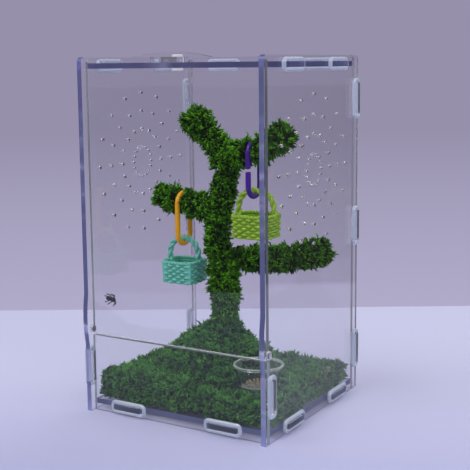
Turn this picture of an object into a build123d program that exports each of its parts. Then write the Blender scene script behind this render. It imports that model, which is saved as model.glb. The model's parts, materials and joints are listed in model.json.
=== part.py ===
"""Clear acrylic spider terrarium with a fold-down door, a moss tree, two hanging baskets and a feeding cup.

The frame stands on z = 0 with +Z up. The door faces -Y. The origin is at the middle of the base.
All sizes are in millimetres.
"""
import os
from math import cos, radians, sin

from build123d import *

os.makedirs("parts", exist_ok=True)

# Box: overall sizes over the two side sheets
WIDTH = 120.0
DEPTH = 117.0
HEIGHT = 206.0
SHEET = 3.0
MARGIN = 3.5

# Side sheets: rounded top corners and the swelling of the front edge beside the hinge
TOP_CORNER = 3.0
EAR_RISE = 1.4
EAR_HEIGHT = 30.0
EAR_CENTRE = 55.5

# Tabs of one sheet through slots of another, each held by a stretched silicone band
TAB_LENGTH = 18.5
TAB_OUT = 2.9
SLOT_GAP = 0.1
SIDE_TAB_SPACING = 56.0
FRONT_TAB_SPACING = 63.6
BACK_TAB_HEIGHTS = (26.4, 103.4, 180.4)
BAND_WIRE = 2.3
BAND_SLACK = 0.05
BAND_END_SLACK = 0.5
BAND_CORNER = 1.8

# Vent holes: rings of small holes in both side sheets
VENT_CENTRE_HEIGHT = 142.5
VENT_INNER_RADIUS = 9.0
VENT_STEP = 11.0
VENT_RINGS = 4
VENT_SPOKES = 16
VENT_INNER_HOLE = 1.5
VENT_OUTER_HOLE = 2.0

# Door and its hinge lugs
DOOR_SIDE_GAP = 0.35
DOOR_BACK_GAP = 0.25
DOOR_TOP_DROP = 1.0
DOOR_CORNER = 3.0
LIP_WIDTH = 54.0
LIP_RISE = 3.1
HINGE_HEIGHT = 48.7
HINGE_BELOW = 2.6
LUG_HEIGHT = 3.9
LUG_HOLE = 5.1
LUG_OUT = 0.3
LOWER_PANEL_GAP = 0.7

# Feeding hole in the top with its swivelling cover on a push rivet
FEED_X = -18.0
FEED_Y = -28.8
FEED_HOLE = 14.0
COVER_MARGIN = 2.0
COVER_PIVOT_RADIUS = 6.0
PIVOT_OFFSET = 11.0
COVER_LIFT = 0.15
RIVET_SHANK = 4.5
RIVET_HEAD = 6.4
RIVET_HEAD_HEIGHT = 1.3
RIVET_FOOT = 6.4
RIVET_FOOT_HEIGHT = 1.5
RIVET_GAP = 0.06

# Tree: armature of thick wire under moss, on a round foot
TREE_X = -1.4
TREE_Y = 0.2
FOOT_RADIUS = 22.0
FOOT_HEIGHT = 3.0
WIRE_RADIUS = 1.6
WIRE_BEND = 9.0
TRUNK_BOTTOM = 50.0
GROOVE_HALF = 2.2
TIP_ROUNDING = 0.45
TIP_TAPER = 50.0

# Moss floor
MOSS_WALL_GAP = 0.9
MOSS_FRONT_GAP = 1.5
MOSS_FLOOR_GAP = 0.1
RIGHT_MOSS_HEIGHT = 12.0
LEFT_MOSS_FRONT_HEIGHT = 18.0
LEFT_MOSS_BACK_HEIGHT = 14.5
LEFT_MOSS_TOE = 6.3
LEFT_MOSS_BROW = 16.7
LEFT_MOSS_SHOULDER = 15.6
MOSS_EDGE = 4.5
MOUND_SINK = 0.5
CREASE_FRONT_X = 8.0
CREASE_BACK_X = -5.0
CREASE_BACK_Y = -23.0
CREASE_GAP = 0.4

# Open links hung on two branches
LINK_WIRE = 1.55
LINK_ARM = 6.7
LINK_STRAIGHT = 17.5
LINK_SLOT = 1.7
LINK_RUNNING_GAP = 0.35
AMBER_X = -27.5
AMBER_Y = 0.2
AMBER_Z = 118.0
PURPLE_X = 26.2
PURPLE_Y = -7.8
PURPLE_Z = 150.75

# Small baskets hung on the links
BASKET_LENGTH = 21.5
BASKET_WIDTH = 19.5
BASKET_HEIGHT = 13.3
BASKET_CORNER = 5.0
BASKET_FLARE = 2.0
BASKET_WALL = 1.5
BASKET_FLOOR = 1.5
BASKET_RIM = 1.1
HANDLE_WIRE = 1.8
HANDLE_SPAN = 20.5
HANDLE_LEG = 3.85
HANDLE_ROOT = 3.0
HANDLE_GAP = 0.25

# Feeding cup and what is in it
CUP_X = 33.9
CUP_Y = -19.8
CUP_BOTTOM = 19.0
CUP_RIM_RADIUS = 13.5
CUP_BASE_RADIUS = 9.6
CUP_HEIGHT = 12.7
CUP_WALL = 1.0
CUP_FLOOR = 1.2
CUP_LIP = 0.8
CUP_CLEARANCE = 0.6
CUP_LIFT = 45.0
FOOD_HEIGHT = 2.4
FOOD_GAP = 0.3
FOOD_SHOULDER_OUT = 0.7
FOOD_SHOULDER_UP = 0.75

# Small black spider on the inside of the door; its legs' hips and knees lie a share of the way to the feet
SPIDER_INSET = 11.4
SPIDER_RISE = 18.7
SPIDER_LEG = 0.28
SPIDER_FOOT_GAP = 0.15
SPIDER_LIFT = 1.3
SPIDER_KNEE = 2.2
HIP_SHARE = 0.15
KNEE_SHARE = 0.6
ABDOMEN = (-1.8, 0.2, 2.1, 1.15)
FORE_BODY = (1.1, -0.3, 1.7, 1.35)
LEG_FEET = (
    (-4.4, 1.7), (-2.7, 3.0), (0.4, 3.2), (2.4, 2.9),
    (-4.1, -2.0), (-2.1, -3.2), (2.0, -3.8), (3.5, -2.6),
)

# Places worked out from the sizes above
RIGHT = WIDTH / 2
LEFT = -RIGHT
FRONT = -(DEPTH - EAR_RISE) / 2
BACK = FRONT + DEPTH
MID_Y = FRONT + DEPTH / 2
INNER_WIDTH = WIDTH - 2 * SHEET
WALL_FRONT = FRONT + MARGIN
WALL_REAR = WALL_FRONT + SHEET
BACK_WALL_REAR = BACK - MARGIN
BACK_WALL_FRONT = BACK_WALL_REAR - SHEET
BASE_Z = MARGIN
FLOOR_Z = BASE_Z + SHEET
TOP_Z = HEIGHT - MARGIN - SHEET
ROOF_Z = TOP_Z + SHEET
SIDE_TAB_YS = (MID_Y - SIDE_TAB_SPACING / 2, MID_Y + SIDE_TAB_SPACING / 2)
FRONT_TAB_XS = (-FRONT_TAB_SPACING / 2, FRONT_TAB_SPACING / 2)
FRONT_TAB_HEIGHT = BACK_TAB_HEIGHTS[0]
SLOT_LENGTH = TAB_LENGTH + 2 * SLOT_GAP
SLOT_WIDTH = SHEET + 2 * SLOT_GAP
HINGE_Y = WALL_FRONT + SHEET / 2
DOOR_BOTTOM = HINGE_HEIGHT - HINGE_BELOW
DOOR_TOP = HEIGHT - DOOR_TOP_DROP
DOOR_WIDTH = INNER_WIDTH - 2 * DOOR_SIDE_GAP
LOWER_PANEL_TOP = DOOR_BOTTOM - LOWER_PANEL_GAP
SPIDER_X = SPIDER_INSET - DOOR_WIDTH / 2
SPIDER_Z = HINGE_HEIGHT + SPIDER_RISE
PIVOT_Y = FEED_Y + PIVOT_OFFSET
COVER_Z = ROOF_Z + COVER_LIFT
BAND_OFFSET = BAND_WIRE / 2 + BAND_SLACK


def draw_side_sheet(outline):
    """Draw the outline, slots, hinge hole and vents of a side sheet; sketch x is world Y, sketch y is Z."""
    with Locations((MID_Y, HEIGHT / 2)):
        Rectangle(DEPTH, HEIGHT)
    fillet(outline.vertices().group_by(Axis.Y)[-1], TOP_CORNER)
    with BuildLine() as swelling:
        ear = ThreePointArc(
            (FRONT, EAR_CENTRE - EAR_HEIGHT / 2),
            (FRONT - EAR_RISE, EAR_CENTRE),
            (FRONT, EAR_CENTRE + EAR_HEIGHT / 2),
        )
        Line(ear @ 1, ear @ 0)
    make_face(swelling.edges())
    with Locations(*[(y, z) for y in SIDE_TAB_YS for z in (BASE_Z + SHEET / 2, TOP_Z + SHEET / 2)]):
        Rectangle(SLOT_LENGTH, SLOT_WIDTH, mode=Mode.SUBTRACT)
    upright_slots = [(BACK_WALL_FRONT + SHEET / 2, z) for z in BACK_TAB_HEIGHTS]
    upright_slots.append((HINGE_Y, FRONT_TAB_HEIGHT))
    with Locations(*upright_slots):
        Rectangle(SLOT_WIDTH, SLOT_LENGTH, mode=Mode.SUBTRACT)
    with Locations((HINGE_Y, HINGE_HEIGHT)):
        Circle(LUG_HOLE / 2, mode=Mode.SUBTRACT)
    for ring in range(VENT_RINGS):
        hole = VENT_INNER_HOLE if ring == 0 else VENT_OUTER_HOLE
        with Locations((MID_Y, VENT_CENTRE_HEIGHT)):
            with PolarLocations(VENT_INNER_RADIUS + ring * VENT_STEP, VENT_SPOKES):
                Circle(hole / 2, mode=Mode.SUBTRACT)


def add_band(face_point, outward, along):
    """Add one silicone band round a tab; face_point is the tab's middle on the sheet's outer face."""
    centre = Vector(*face_point) + Vector(*outward) * BAND_OFFSET
    half_long = TAB_LENGTH / 2 + BAND_END_SLACK + BAND_WIRE / 2
    half_short = SHEET / 2 + BAND_SLACK + BAND_WIRE / 2
    with BuildLine(Plane(origin=centre, x_dir=along, z_dir=outward)) as loop:
        FilletPolyline(
            (-half_long, -half_short),
            (half_long, -half_short),
            (half_long, half_short),
            (-half_long, half_short),
            radius=BAND_CORNER,
            close=True,
        )
    with BuildSketch(Plane(origin=loop.line @ 0, z_dir=loop.line % 0)) as section:
        Circle(BAND_WIRE / 2)
    sweep(section.sketch, path=loop.line)


def write(builder, name):
    """Label a finished piece and write it."""
    builder.part.label = name
    export_step(builder.part, f"parts/{name}.step")


# Side sheets
with BuildPart() as left_side_panel:
    with BuildSketch(Plane.YZ.offset(LEFT)) as left_outline:
        draw_side_sheet(left_outline)
    extrude(amount=SHEET)
write(left_side_panel, "left_side_panel")

with BuildPart() as right_side_panel:
    with BuildSketch(Plane.YZ.offset(RIGHT - SHEET)) as right_outline:
        draw_side_sheet(right_outline)
    extrude(amount=SHEET)
write(right_side_panel, "right_side_panel")

# Base sheet: two tabs to each side
with BuildPart() as base_panel:
    with BuildSketch(Plane.XY.offset(BASE_Z)):
        with Locations((0, (WALL_REAR + BACK_WALL_FRONT) / 2)):
            Rectangle(INNER_WIDTH, BACK_WALL_FRONT - WALL_REAR)
        with Locations(*[(0, y) for y in SIDE_TAB_YS]):
            Rectangle(WIDTH + 2 * TAB_OUT, TAB_LENGTH)
        with Locations(*[(x, (WALL_FRONT + BACK_WALL_REAR) / 2) for x in FRONT_TAB_XS]):
            Rectangle(TAB_LENGTH, BACK_WALL_REAR - WALL_FRONT + 2 * TAB_OUT)
    extrude(amount=SHEET)
write(base_panel, "base_panel")

# Top sheet: tabs to both sides and the back, feeding hole and rivet hole
TOP_FRONT = WALL_REAR + DOOR_BACK_GAP
with BuildPart() as top_panel:
    with BuildSketch(Plane.XY.offset(TOP_Z)):
        with Locations((0, (TOP_FRONT + BACK_WALL_FRONT) / 2)):
            Rectangle(INNER_WIDTH, BACK_WALL_FRONT - TOP_FRONT)
        with Locations(*[(0, y) for y in SIDE_TAB_YS]):
            Rectangle(WIDTH + 2 * TAB_OUT, TAB_LENGTH)
        with Locations(*[(x, BACK_WALL_FRONT + (SHEET + TAB_OUT) / 2) for x in FRONT_TAB_XS]):
            Rectangle(TAB_LENGTH, SHEET + TAB_OUT)
        with Locations((FEED_X, FEED_Y)):
            Circle(FEED_HOLE / 2, mode=Mode.SUBTRACT)
        with Locations((FEED_X, PIVOT_Y)):
            Circle(RIVET_SHANK / 2 + RIVET_GAP, mode=Mode.SUBTRACT)
    extrude(amount=SHEET)
write(top_panel, "top_panel")

# Back sheet: slots for base and top, three tabs to each side
with BuildPart() as back_panel:
    with BuildSketch(Plane.XZ.offset(-BACK_WALL_REAR)) as back_outline:
        with Locations((0, HEIGHT / 2)):
            Rectangle(INNER_WIDTH, HEIGHT)
        fillet(back_outline.vertices().group_by(Axis.Y)[-1], TOP_CORNER)
        with Locations(*[(0, z) for z in BACK_TAB_HEIGHTS]):
            Rectangle(WIDTH + 2 * TAB_OUT, TAB_LENGTH)
        with Locations(*[(x, z + SHEET / 2) for x in FRONT_TAB_XS for z in (BASE_Z, TOP_Z)]):
            Rectangle(SLOT_LENGTH, SLOT_WIDTH, mode=Mode.SUBTRACT)
    extrude(amount=SHEET)
write(back_panel, "back_panel")

# Fixed lower front sheet: slots for the base, one tab to each side
with BuildPart() as front_lower_panel:
    with BuildSketch(Plane.XZ.offset(-WALL_REAR)):
        with Locations((0, LOWER_PANEL_TOP / 2)):
            Rectangle(INNER_WIDTH, LOWER_PANEL_TOP)
        with Locations((0, FRONT_TAB_HEIGHT)):
            Rectangle(WIDTH + 2 * TAB_OUT, TAB_LENGTH)
        with Locations(*[(x, BASE_Z + SHEET / 2) for x in FRONT_TAB_XS]):
            Rectangle(SLOT_LENGTH, SLOT_WIDTH, mode=Mode.SUBTRACT)
    extrude(amount=SHEET)
write(front_lower_panel, "front_lower_panel")

# Door: rounded top corners, a raised finger lip and a hinge lug at each lower corner
with BuildPart() as door_panel:
    with BuildSketch(Plane.XZ.offset(-WALL_REAR)) as door_outline:
        with Locations((0, (DOOR_BOTTOM + DOOR_TOP) / 2)):
            Rectangle(DOOR_WIDTH, DOOR_TOP - DOOR_BOTTOM)
        fillet(door_outline.vertices().group_by(Axis.Y)[-1], DOOR_CORNER)
        with BuildLine():
            lip = ThreePointArc((-LIP_WIDTH / 2, DOOR_TOP), (0, DOOR_TOP + LIP_RISE), (LIP_WIDTH / 2, DOOR_TOP))
            Line(lip @ 1, lip @ 0)
        make_face()
        with Locations((0, HINGE_HEIGHT)):
            Rectangle(WIDTH + 2 * LUG_OUT, LUG_HEIGHT)
    extrude(amount=SHEET)
write(door_panel, "door_panel")

# Feeding hole cover and its push rivet
with BuildPart() as feed_port_cover:
    with BuildSketch(Plane.XY.offset(COVER_Z)):
        with Locations((FEED_X, FEED_Y)):
            Circle(FEED_HOLE / 2 + COVER_MARGIN)
        with Locations((FEED_X, PIVOT_Y)):
            Circle(COVER_PIVOT_RADIUS)
        with Locations((FEED_X, (FEED_Y + PIVOT_Y) / 2)):
            Rectangle(2 * COVER_PIVOT_RADIUS, PIVOT_OFFSET)
        with Locations((FEED_X, PIVOT_Y)):
            Circle(RIVET_SHANK / 2 + RIVET_GAP, mode=Mode.SUBTRACT)
    extrude(amount=SHEET)
write(feed_port_cover, "feed_port_cover")

RIVET_TOP_Z = COVER_Z + SHEET + COVER_LIFT
with BuildPart() as cover_rivet:
    with BuildSketch(Plane.XY.offset(TOP_Z - RIVET_FOOT_HEIGHT)):
        with Locations((FEED_X, PIVOT_Y)):
            Circle(RIVET_FOOT / 2)
    extrude(amount=RIVET_FOOT_HEIGHT)
    with BuildSketch(Plane.XY.offset(TOP_Z)):
        with Locations((FEED_X, PIVOT_Y)):
            Circle(RIVET_SHANK / 2)
    extrude(amount=RIVET_TOP_Z - TOP_Z)
    with BuildSketch(Plane.XY.offset(RIVET_TOP_Z)):
        with Locations((FEED_X, PIVOT_Y)):
            Circle(RIVET_HEAD / 2)
    extrude(amount=RIVET_HEAD_HEIGHT)
    fillet(cover_rivet.edges().group_by(Axis.Z)[-1], RIVET_HEAD_HEIGHT / 2)
write(cover_rivet, "cover_rivet")

# Silicone bands, grouped by the seam that they hold
X_ALONG = (1, 0, 0)
Y_ALONG = (0, 1, 0)
Z_ALONG = (0, 0, 1)
OUT_LEFT = (-1, 0, 0)
OUT_RIGHT = (1, 0, 0)
OUT_FRONT = (0, -1, 0)
OUT_BACK = (0, 1, 0)
BASE_TAB_Z = BASE_Z + SHEET / 2
TOP_TAB_Z = TOP_Z + SHEET / 2
BACK_TAB_Y = BACK_WALL_FRONT + SHEET / 2

BAND_GROUPS = {
    "front_base_bands": [((x, WALL_FRONT, BASE_TAB_Z), OUT_FRONT, X_ALONG) for x in FRONT_TAB_XS],
    "back_base_bands": [((x, BACK_WALL_REAR, BASE_TAB_Z), OUT_BACK, X_ALONG) for x in FRONT_TAB_XS],
    "back_top_bands": [((x, BACK_WALL_REAR, TOP_TAB_Z), OUT_BACK, X_ALONG) for x in FRONT_TAB_XS],
    "left_base_bands": [((LEFT, y, BASE_TAB_Z), OUT_LEFT, Y_ALONG) for y in SIDE_TAB_YS],
    "right_base_bands": [((RIGHT, y, BASE_TAB_Z), OUT_RIGHT, Y_ALONG) for y in SIDE_TAB_YS],
    "left_top_bands": [((LEFT, y, TOP_TAB_Z), OUT_LEFT, Y_ALONG) for y in SIDE_TAB_YS],
    "right_top_bands": [((RIGHT, y, TOP_TAB_Z), OUT_RIGHT, Y_ALONG) for y in SIDE_TAB_YS],
    "left_back_bands": [((LEFT, BACK_TAB_Y, z), OUT_LEFT, Z_ALONG) for z in BACK_TAB_HEIGHTS],
    "right_back_bands": [((RIGHT, BACK_TAB_Y, z), OUT_RIGHT, Z_ALONG) for z in BACK_TAB_HEIGHTS],
    "left_front_band": [((LEFT, HINGE_Y, FRONT_TAB_HEIGHT), OUT_LEFT, Z_ALONG)],
    "right_front_band": [((RIGHT, HINGE_Y, FRONT_TAB_HEIGHT), OUT_RIGHT, Z_ALONG)],
}
for group_name, places in BAND_GROUPS.items():
    with BuildPart() as bands:
        for place in places:
            add_band(*place)
    write(bands, group_name)

# Forks of the trunk, where the armature's wires part
LOW_FORK = (0.0, TREE_Y, 84.0)
MIDDLE_FORK = (-3.6, TREE_Y, 105.0)
TOP_FORK = (0.7, TREE_Y, 130.0)

# Moss limbs as points (x, y, z) and radii; the branches' wires follow the same points
TRUNK_PATH = (
    ((1.4, TREE_Y, TRUNK_BOTTOM), 8.6),
    ((1.4, TREE_Y, 54.0), 8.3),
    ((0.9, TREE_Y, 62.0), 9.0),
    ((0.8, TREE_Y, 69.0), 9.9),
    ((1.0, TREE_Y, 76.0), 9.8),
    (LOW_FORK, 9.5),
    ((-2.6, TREE_Y, 92.0), 8.9),
    ((-4.0, TREE_Y, 98.0), 8.3),
    (MIDDLE_FORK, 8.2),
    ((-1.6, TREE_Y, 115.0), 8.3),
    ((0.0, TREE_Y, 124.0), 8.2),
    (TOP_FORK, 8.0),
    ((3.0, TREE_Y, 137.0), 7.5),
    ((5.3, TREE_Y, 146.5), 7.6),
)
UPPER_LEFT_PATH = (
    ((4.8, TREE_Y, 145.0), 8.2),
    ((-2.0, TREE_Y, 153.5), 8.6),
    ((-11.0, TREE_Y, 162.5), 8.9),
    ((-20.5, TREE_Y, 170.5), 9.4),
)
UPPER_RIGHT_PATH = (
    ((5.0, -0.8, 144.5), 8.0),
    ((15.0, -5.4, PURPLE_Z - 1.0), 8.6),
    ((PURPLE_X, PURPLE_Y, PURPLE_Z + 1.3), 8.7),
    ((36.0, PURPLE_Y, PURPLE_Z + 6.6), 8.9),
    ((44.5, -7.0, PURPLE_Z + 11.6), 8.3),
)
LEFT_PATH = (
    ((-2.0, TREE_Y, AMBER_Z - 2.0), 8.0),
    ((-14.0, TREE_Y, AMBER_Z - 0.8), 8.5),
    ((AMBER_X, AMBER_Y, AMBER_Z + 1.2), 8.7),
    ((-37.0, TREE_Y, AMBER_Z + 2.9), 8.7),
    ((-44.8, TREE_Y, AMBER_Z + 4.3), 7.8),
)
LOWER_RIGHT_PATH = (
    ((0.0, 2.0, 87.5), 8.0),
    ((12.0, 12.0, 85.6), 8.5),
    ((24.0, 22.0, 85.2), 8.9),
    ((36.0, 31.8, 86.3), 9.2),
    ((46.0, 40.0, 88.6), 9.1),
)

# Root mound: flares from the trunk to the floor, wider to the left
MOUND_BASE = FLOOR_Z + FOOT_HEIGHT
MOUND_EDGE_Z = FLOOR_Z + RIGHT_MOSS_HEIGHT - MOUND_SINK
MOUND_PATH = (
    ((TREE_X, TREE_Y, MOUND_EDGE_Z), 37.0),
    ((-3.0, TREE_Y, 25.0), 33.0),
    ((-4.2, TREE_Y, 31.0), 29.0),
    ((-5.0, TREE_Y, 34.8), 25.6),
    ((-5.6, TREE_Y, 37.6), 22.3),
    ((-4.8, TREE_Y, 41.0), 17.6),
    ((-1.8, TREE_Y, 45.2), 13.0),
    ((1.4, TREE_Y, TRUNK_BOTTOM), 8.6),
)


def wire_route(path):
    """Return the points of a moss limb without its radii, for the wire inside it."""
    return [Vector(*point) for point, _ in path]


def add_wire(points):
    """Add one armature wire along the points, bent round at each of them."""
    with BuildLine() as route:
        FilletPolyline(*points, radius=WIRE_BEND)
    with BuildSketch(Plane(origin=route.line @ 0, z_dir=route.line % 0)) as section:
        Circle(WIRE_RADIUS)
    sweep(section.sketch, path=route.line)


# Armature: the trunk wire runs from the foot into the upper left branch, the others start in the trunk
TRUNK_ROUTE = [Vector(TREE_X, TREE_Y, FLOOR_Z), Vector(*LOW_FORK), Vector(*MIDDLE_FORK), Vector(*TOP_FORK)]
with BuildPart() as tree_armature:
    add_wire(TRUNK_ROUTE + wire_route(UPPER_LEFT_PATH)[1:])
    add_wire([Vector(*TOP_FORK)] + wire_route(UPPER_RIGHT_PATH)[1:])
    add_wire([Vector(*MIDDLE_FORK)] + wire_route(LEFT_PATH)[1:])
    add_wire([Vector(*LOW_FORK)] + wire_route(LOWER_RIGHT_PATH)[1:])
write(tree_armature, "tree_armature")

# Tree foot: a round clear disc that the armature stands in
with BuildPart() as tree_foot:
    with BuildSketch(Plane.XY.offset(FLOOR_Z)):
        with Locations((TREE_X, TREE_Y)):
            Circle(FOOT_RADIUS)
    extrude(amount=FOOT_HEIGHT)
    add(tree_armature.part, mode=Mode.SUBTRACT)
write(tree_foot, "tree_foot")


def add_limb(path, side, level=False):
    """Loft a moss limb through circles along its path, with a rounded tip unless the sections are level."""
    points = [Vector(*point) for point, _ in path]
    sizes = [radius for _, radius in path]
    headings = []
    for index in range(len(points)):
        before = points[max(index - 1, 0)]
        after = points[min(index + 1, len(points) - 1)]
        headings.append(Vector(0, 0, 1) if level else (after - before).normalized())
    if not level:
        tip = points[-1] + headings[-1] * sizes[-1] * TIP_ROUNDING
        points.append(tip)
        sizes.append(sizes[-1] * cos(radians(TIP_TAPER)))
        headings.append(headings[-1])
    sections = []
    for point, size, heading in zip(points, sizes, headings):
        across = heading.cross(Vector(*side))
        with BuildSketch(Plane(origin=point, x_dir=across, z_dir=heading)) as section:
            Circle(size)
        sections.append(section.sketch)
    loft(sections)


def cut_groove(x, y, z):
    """Cut the groove in which a link hangs, down to a neck on the link's own swing axis."""
    neck = LINK_ARM - LINK_WIRE - LINK_RUNNING_GAP
    with BuildSketch(Plane(origin=(x - GROOVE_HALF, y, z), x_dir=Y_ALONG, z_dir=X_ALONG)) as ring:
        Circle(2 * LINK_ARM)
        Circle(neck, mode=Mode.SUBTRACT)
    extrude(ring.sketch, amount=2 * GROOVE_HALF, mode=Mode.SUBTRACT)


# Root mound with its plug over the foot, and the pocket in which the feeding cup stands
CUP_POCKET = CUP_RIM_RADIUS + CUP_CLEARANCE
with BuildPart() as mound_shape:
    add_limb(MOUND_PATH, Y_ALONG, level=True)
    with BuildSketch(Plane.XY.offset(MOUND_BASE)) as plug:
        with Locations((TREE_X, TREE_Y)):
            Circle(FOOT_RADIUS)
    extrude(plug.sketch, amount=MOUND_EDGE_Z - MOUND_BASE)
with BuildPart() as root_mound_moss:
    add(mound_shape.part)
    with BuildSketch(Plane.XY.offset(CUP_BOTTOM)) as pocket:
        with Locations((CUP_X, CUP_Y)):
            Circle(CUP_POCKET)
    extrude(pocket.sketch, amount=CUP_LIFT, mode=Mode.SUBTRACT)
    add(tree_armature.part, mode=Mode.SUBTRACT)
write(root_mound_moss, "root_mound_moss")

# Moss limbs, each cut where it meets the ones before it
with BuildPart() as trunk_limb:
    add_limb(TRUNK_PATH, Y_ALONG, level=True)
with BuildPart() as trunk_moss:
    add(trunk_limb.part)
    add(tree_armature.part, mode=Mode.SUBTRACT)
write(trunk_moss, "trunk_moss")

with BuildPart() as upper_left_branch_moss:
    add_limb(UPPER_LEFT_PATH, Y_ALONG)
    add(trunk_limb.part, mode=Mode.SUBTRACT)
    add(tree_armature.part, mode=Mode.SUBTRACT)
write(upper_left_branch_moss, "upper_left_branch_moss")

with BuildPart() as upper_right_branch_moss:
    add_limb(UPPER_RIGHT_PATH, Z_ALONG)
    cut_groove(PURPLE_X, PURPLE_Y, PURPLE_Z)
    add(trunk_limb.part, mode=Mode.SUBTRACT)
    add(upper_left_branch_moss.part, mode=Mode.SUBTRACT)
    add(tree_armature.part, mode=Mode.SUBTRACT)
write(upper_right_branch_moss, "upper_right_branch_moss")

with BuildPart() as left_branch_moss:
    add_limb(LEFT_PATH, Z_ALONG)
    cut_groove(AMBER_X, AMBER_Y, AMBER_Z)
    add(trunk_limb.part, mode=Mode.SUBTRACT)
    add(tree_armature.part, mode=Mode.SUBTRACT)
write(left_branch_moss, "left_branch_moss")

with BuildPart() as lower_right_branch_moss:
    add_limb(LOWER_RIGHT_PATH, Z_ALONG)
    add(trunk_limb.part, mode=Mode.SUBTRACT)
    add(tree_armature.part, mode=Mode.SUBTRACT)
write(lower_right_branch_moss, "lower_right_branch_moss")

# Moss floor: two mats that meet in a slanting crease in front of the tree
MOSS_LEFT = LEFT + SHEET + MOSS_WALL_GAP
MOSS_RIGHT = RIGHT - SHEET - MOSS_WALL_GAP
MOSS_FRONT = WALL_REAR + MOSS_FRONT_GAP
MOSS_BACK = BACK_WALL_FRONT - MOSS_WALL_GAP
MOSS_BOTTOM = FLOOR_Z + MOSS_FLOOR_GAP


def draw_left_of_crease(gap):
    """Draw the floor's outline left of the crease, held back from it by the gap."""
    Polyline(
        (MOSS_LEFT, MOSS_FRONT),
        (CREASE_FRONT_X - gap, MOSS_FRONT),
        (CREASE_BACK_X - gap, CREASE_BACK_Y),
        (CREASE_BACK_X - gap, MOSS_BACK),
        (MOSS_LEFT, MOSS_BACK),
        close=True,
    )


def draw_right_of_crease(gap):
    """Draw the floor's outline right of the crease, held back from it by the gap."""
    Polyline(
        (MOSS_RIGHT, MOSS_FRONT),
        (CREASE_FRONT_X + gap, MOSS_FRONT),
        (CREASE_BACK_X + gap, CREASE_BACK_Y),
        (CREASE_BACK_X + gap, MOSS_BACK),
        (MOSS_RIGHT, MOSS_BACK),
        close=True,
    )


def cut_tree_seat():
    """Take the root mound and its foot out of a moss mat."""
    add(mound_shape.part, mode=Mode.SUBTRACT)
    with BuildSketch(Plane.XY.offset(FLOOR_Z)) as seat:
        with Locations((TREE_X, TREE_Y)):
            Circle(FOOT_RADIUS + MOSS_FLOOR_GAP)
    extrude(seat.sketch, amount=FOOT_HEIGHT, mode=Mode.SUBTRACT)


with BuildPart() as left_moss_mat:
    with BuildSketch(Plane.XY.offset(MOSS_BOTTOM)):
        with BuildLine():
            draw_left_of_crease(CREASE_GAP / 2)
        make_face()
    extrude(amount=LEFT_MOSS_FRONT_HEIGHT)
    with BuildSketch(Plane.YZ.offset(LEFT)):
        with BuildLine():
            crest = Spline(
                (MOSS_FRONT - MARGIN, MOSS_BOTTOM + LEFT_MOSS_TOE),
                (MOSS_FRONT + MOSS_EDGE, MOSS_BOTTOM + LEFT_MOSS_BROW),
                (MOSS_FRONT + 4 * MOSS_EDGE, MOSS_BOTTOM + LEFT_MOSS_SHOULDER),
                (TREE_Y, MOSS_BOTTOM + LEFT_MOSS_BACK_HEIGHT),
                (MOSS_BACK + MARGIN, MOSS_BOTTOM + LEFT_MOSS_BACK_HEIGHT),
            )
            Polyline(
                crest @ 1,
                (MOSS_BACK + MARGIN, HEIGHT / 2),
                (MOSS_FRONT - MARGIN, HEIGHT / 2),
                crest @ 0,
            )
        make_face()
    extrude(amount=WIDTH, mode=Mode.SUBTRACT)
    cut_tree_seat()
write(left_moss_mat, "left_moss_mat")

with BuildPart() as right_moss_mat:
    with BuildSketch(Plane.XY.offset(MOSS_BOTTOM)):
        with BuildLine():
            draw_right_of_crease(CREASE_GAP / 2)
        make_face()
    extrude(amount=RIGHT_MOSS_HEIGHT)
    chamfer(right_moss_mat.faces().sort_by(Axis.Z)[-1].edges(), MOSS_EDGE / 2)
    cut_tree_seat()
write(right_moss_mat, "right_moss_mat")


def add_link(x, y, z, slot_side):
    """Add an open link whose upper bow is centred on the given point; slot_side is +1 behind, -1 in front."""
    plane = Plane(origin=(x, y, z), x_dir=(0, slot_side, 0), z_dir=(slot_side, 0, 0))
    slot_top = -(LINK_STRAIGHT - LINK_SLOT) / 2
    slot_bottom = slot_top - LINK_SLOT
    with BuildLine(plane) as route:
        Line((LINK_ARM, slot_top), (LINK_ARM, 0))
        CenterArc((0, 0), LINK_ARM, 0, 180)
        Line((-LINK_ARM, 0), (-LINK_ARM, -LINK_STRAIGHT))
        CenterArc((0, -LINK_STRAIGHT), LINK_ARM, 180, 180)
        Line((LINK_ARM, -LINK_STRAIGHT), (LINK_ARM, slot_bottom))
    with BuildSketch(Plane(origin=route.line @ 0, z_dir=route.line % 0)) as section:
        Circle(LINK_WIRE)
    sweep(section.sketch, path=route.line)


with BuildPart() as amber_link:
    add_link(AMBER_X, AMBER_Y, AMBER_Z, 1)
    fillet(amber_link.faces().filter_by(GeomType.PLANE).edges(), LINK_WIRE / 2)
write(amber_link, "amber_link")

with BuildPart() as purple_link:
    add_link(PURPLE_X, PURPLE_Y, PURPLE_Z, -1)
    fillet(purple_link.faces().filter_by(GeomType.PLANE).edges(), LINK_WIRE / 2)
write(purple_link, "purple_link")


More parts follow.
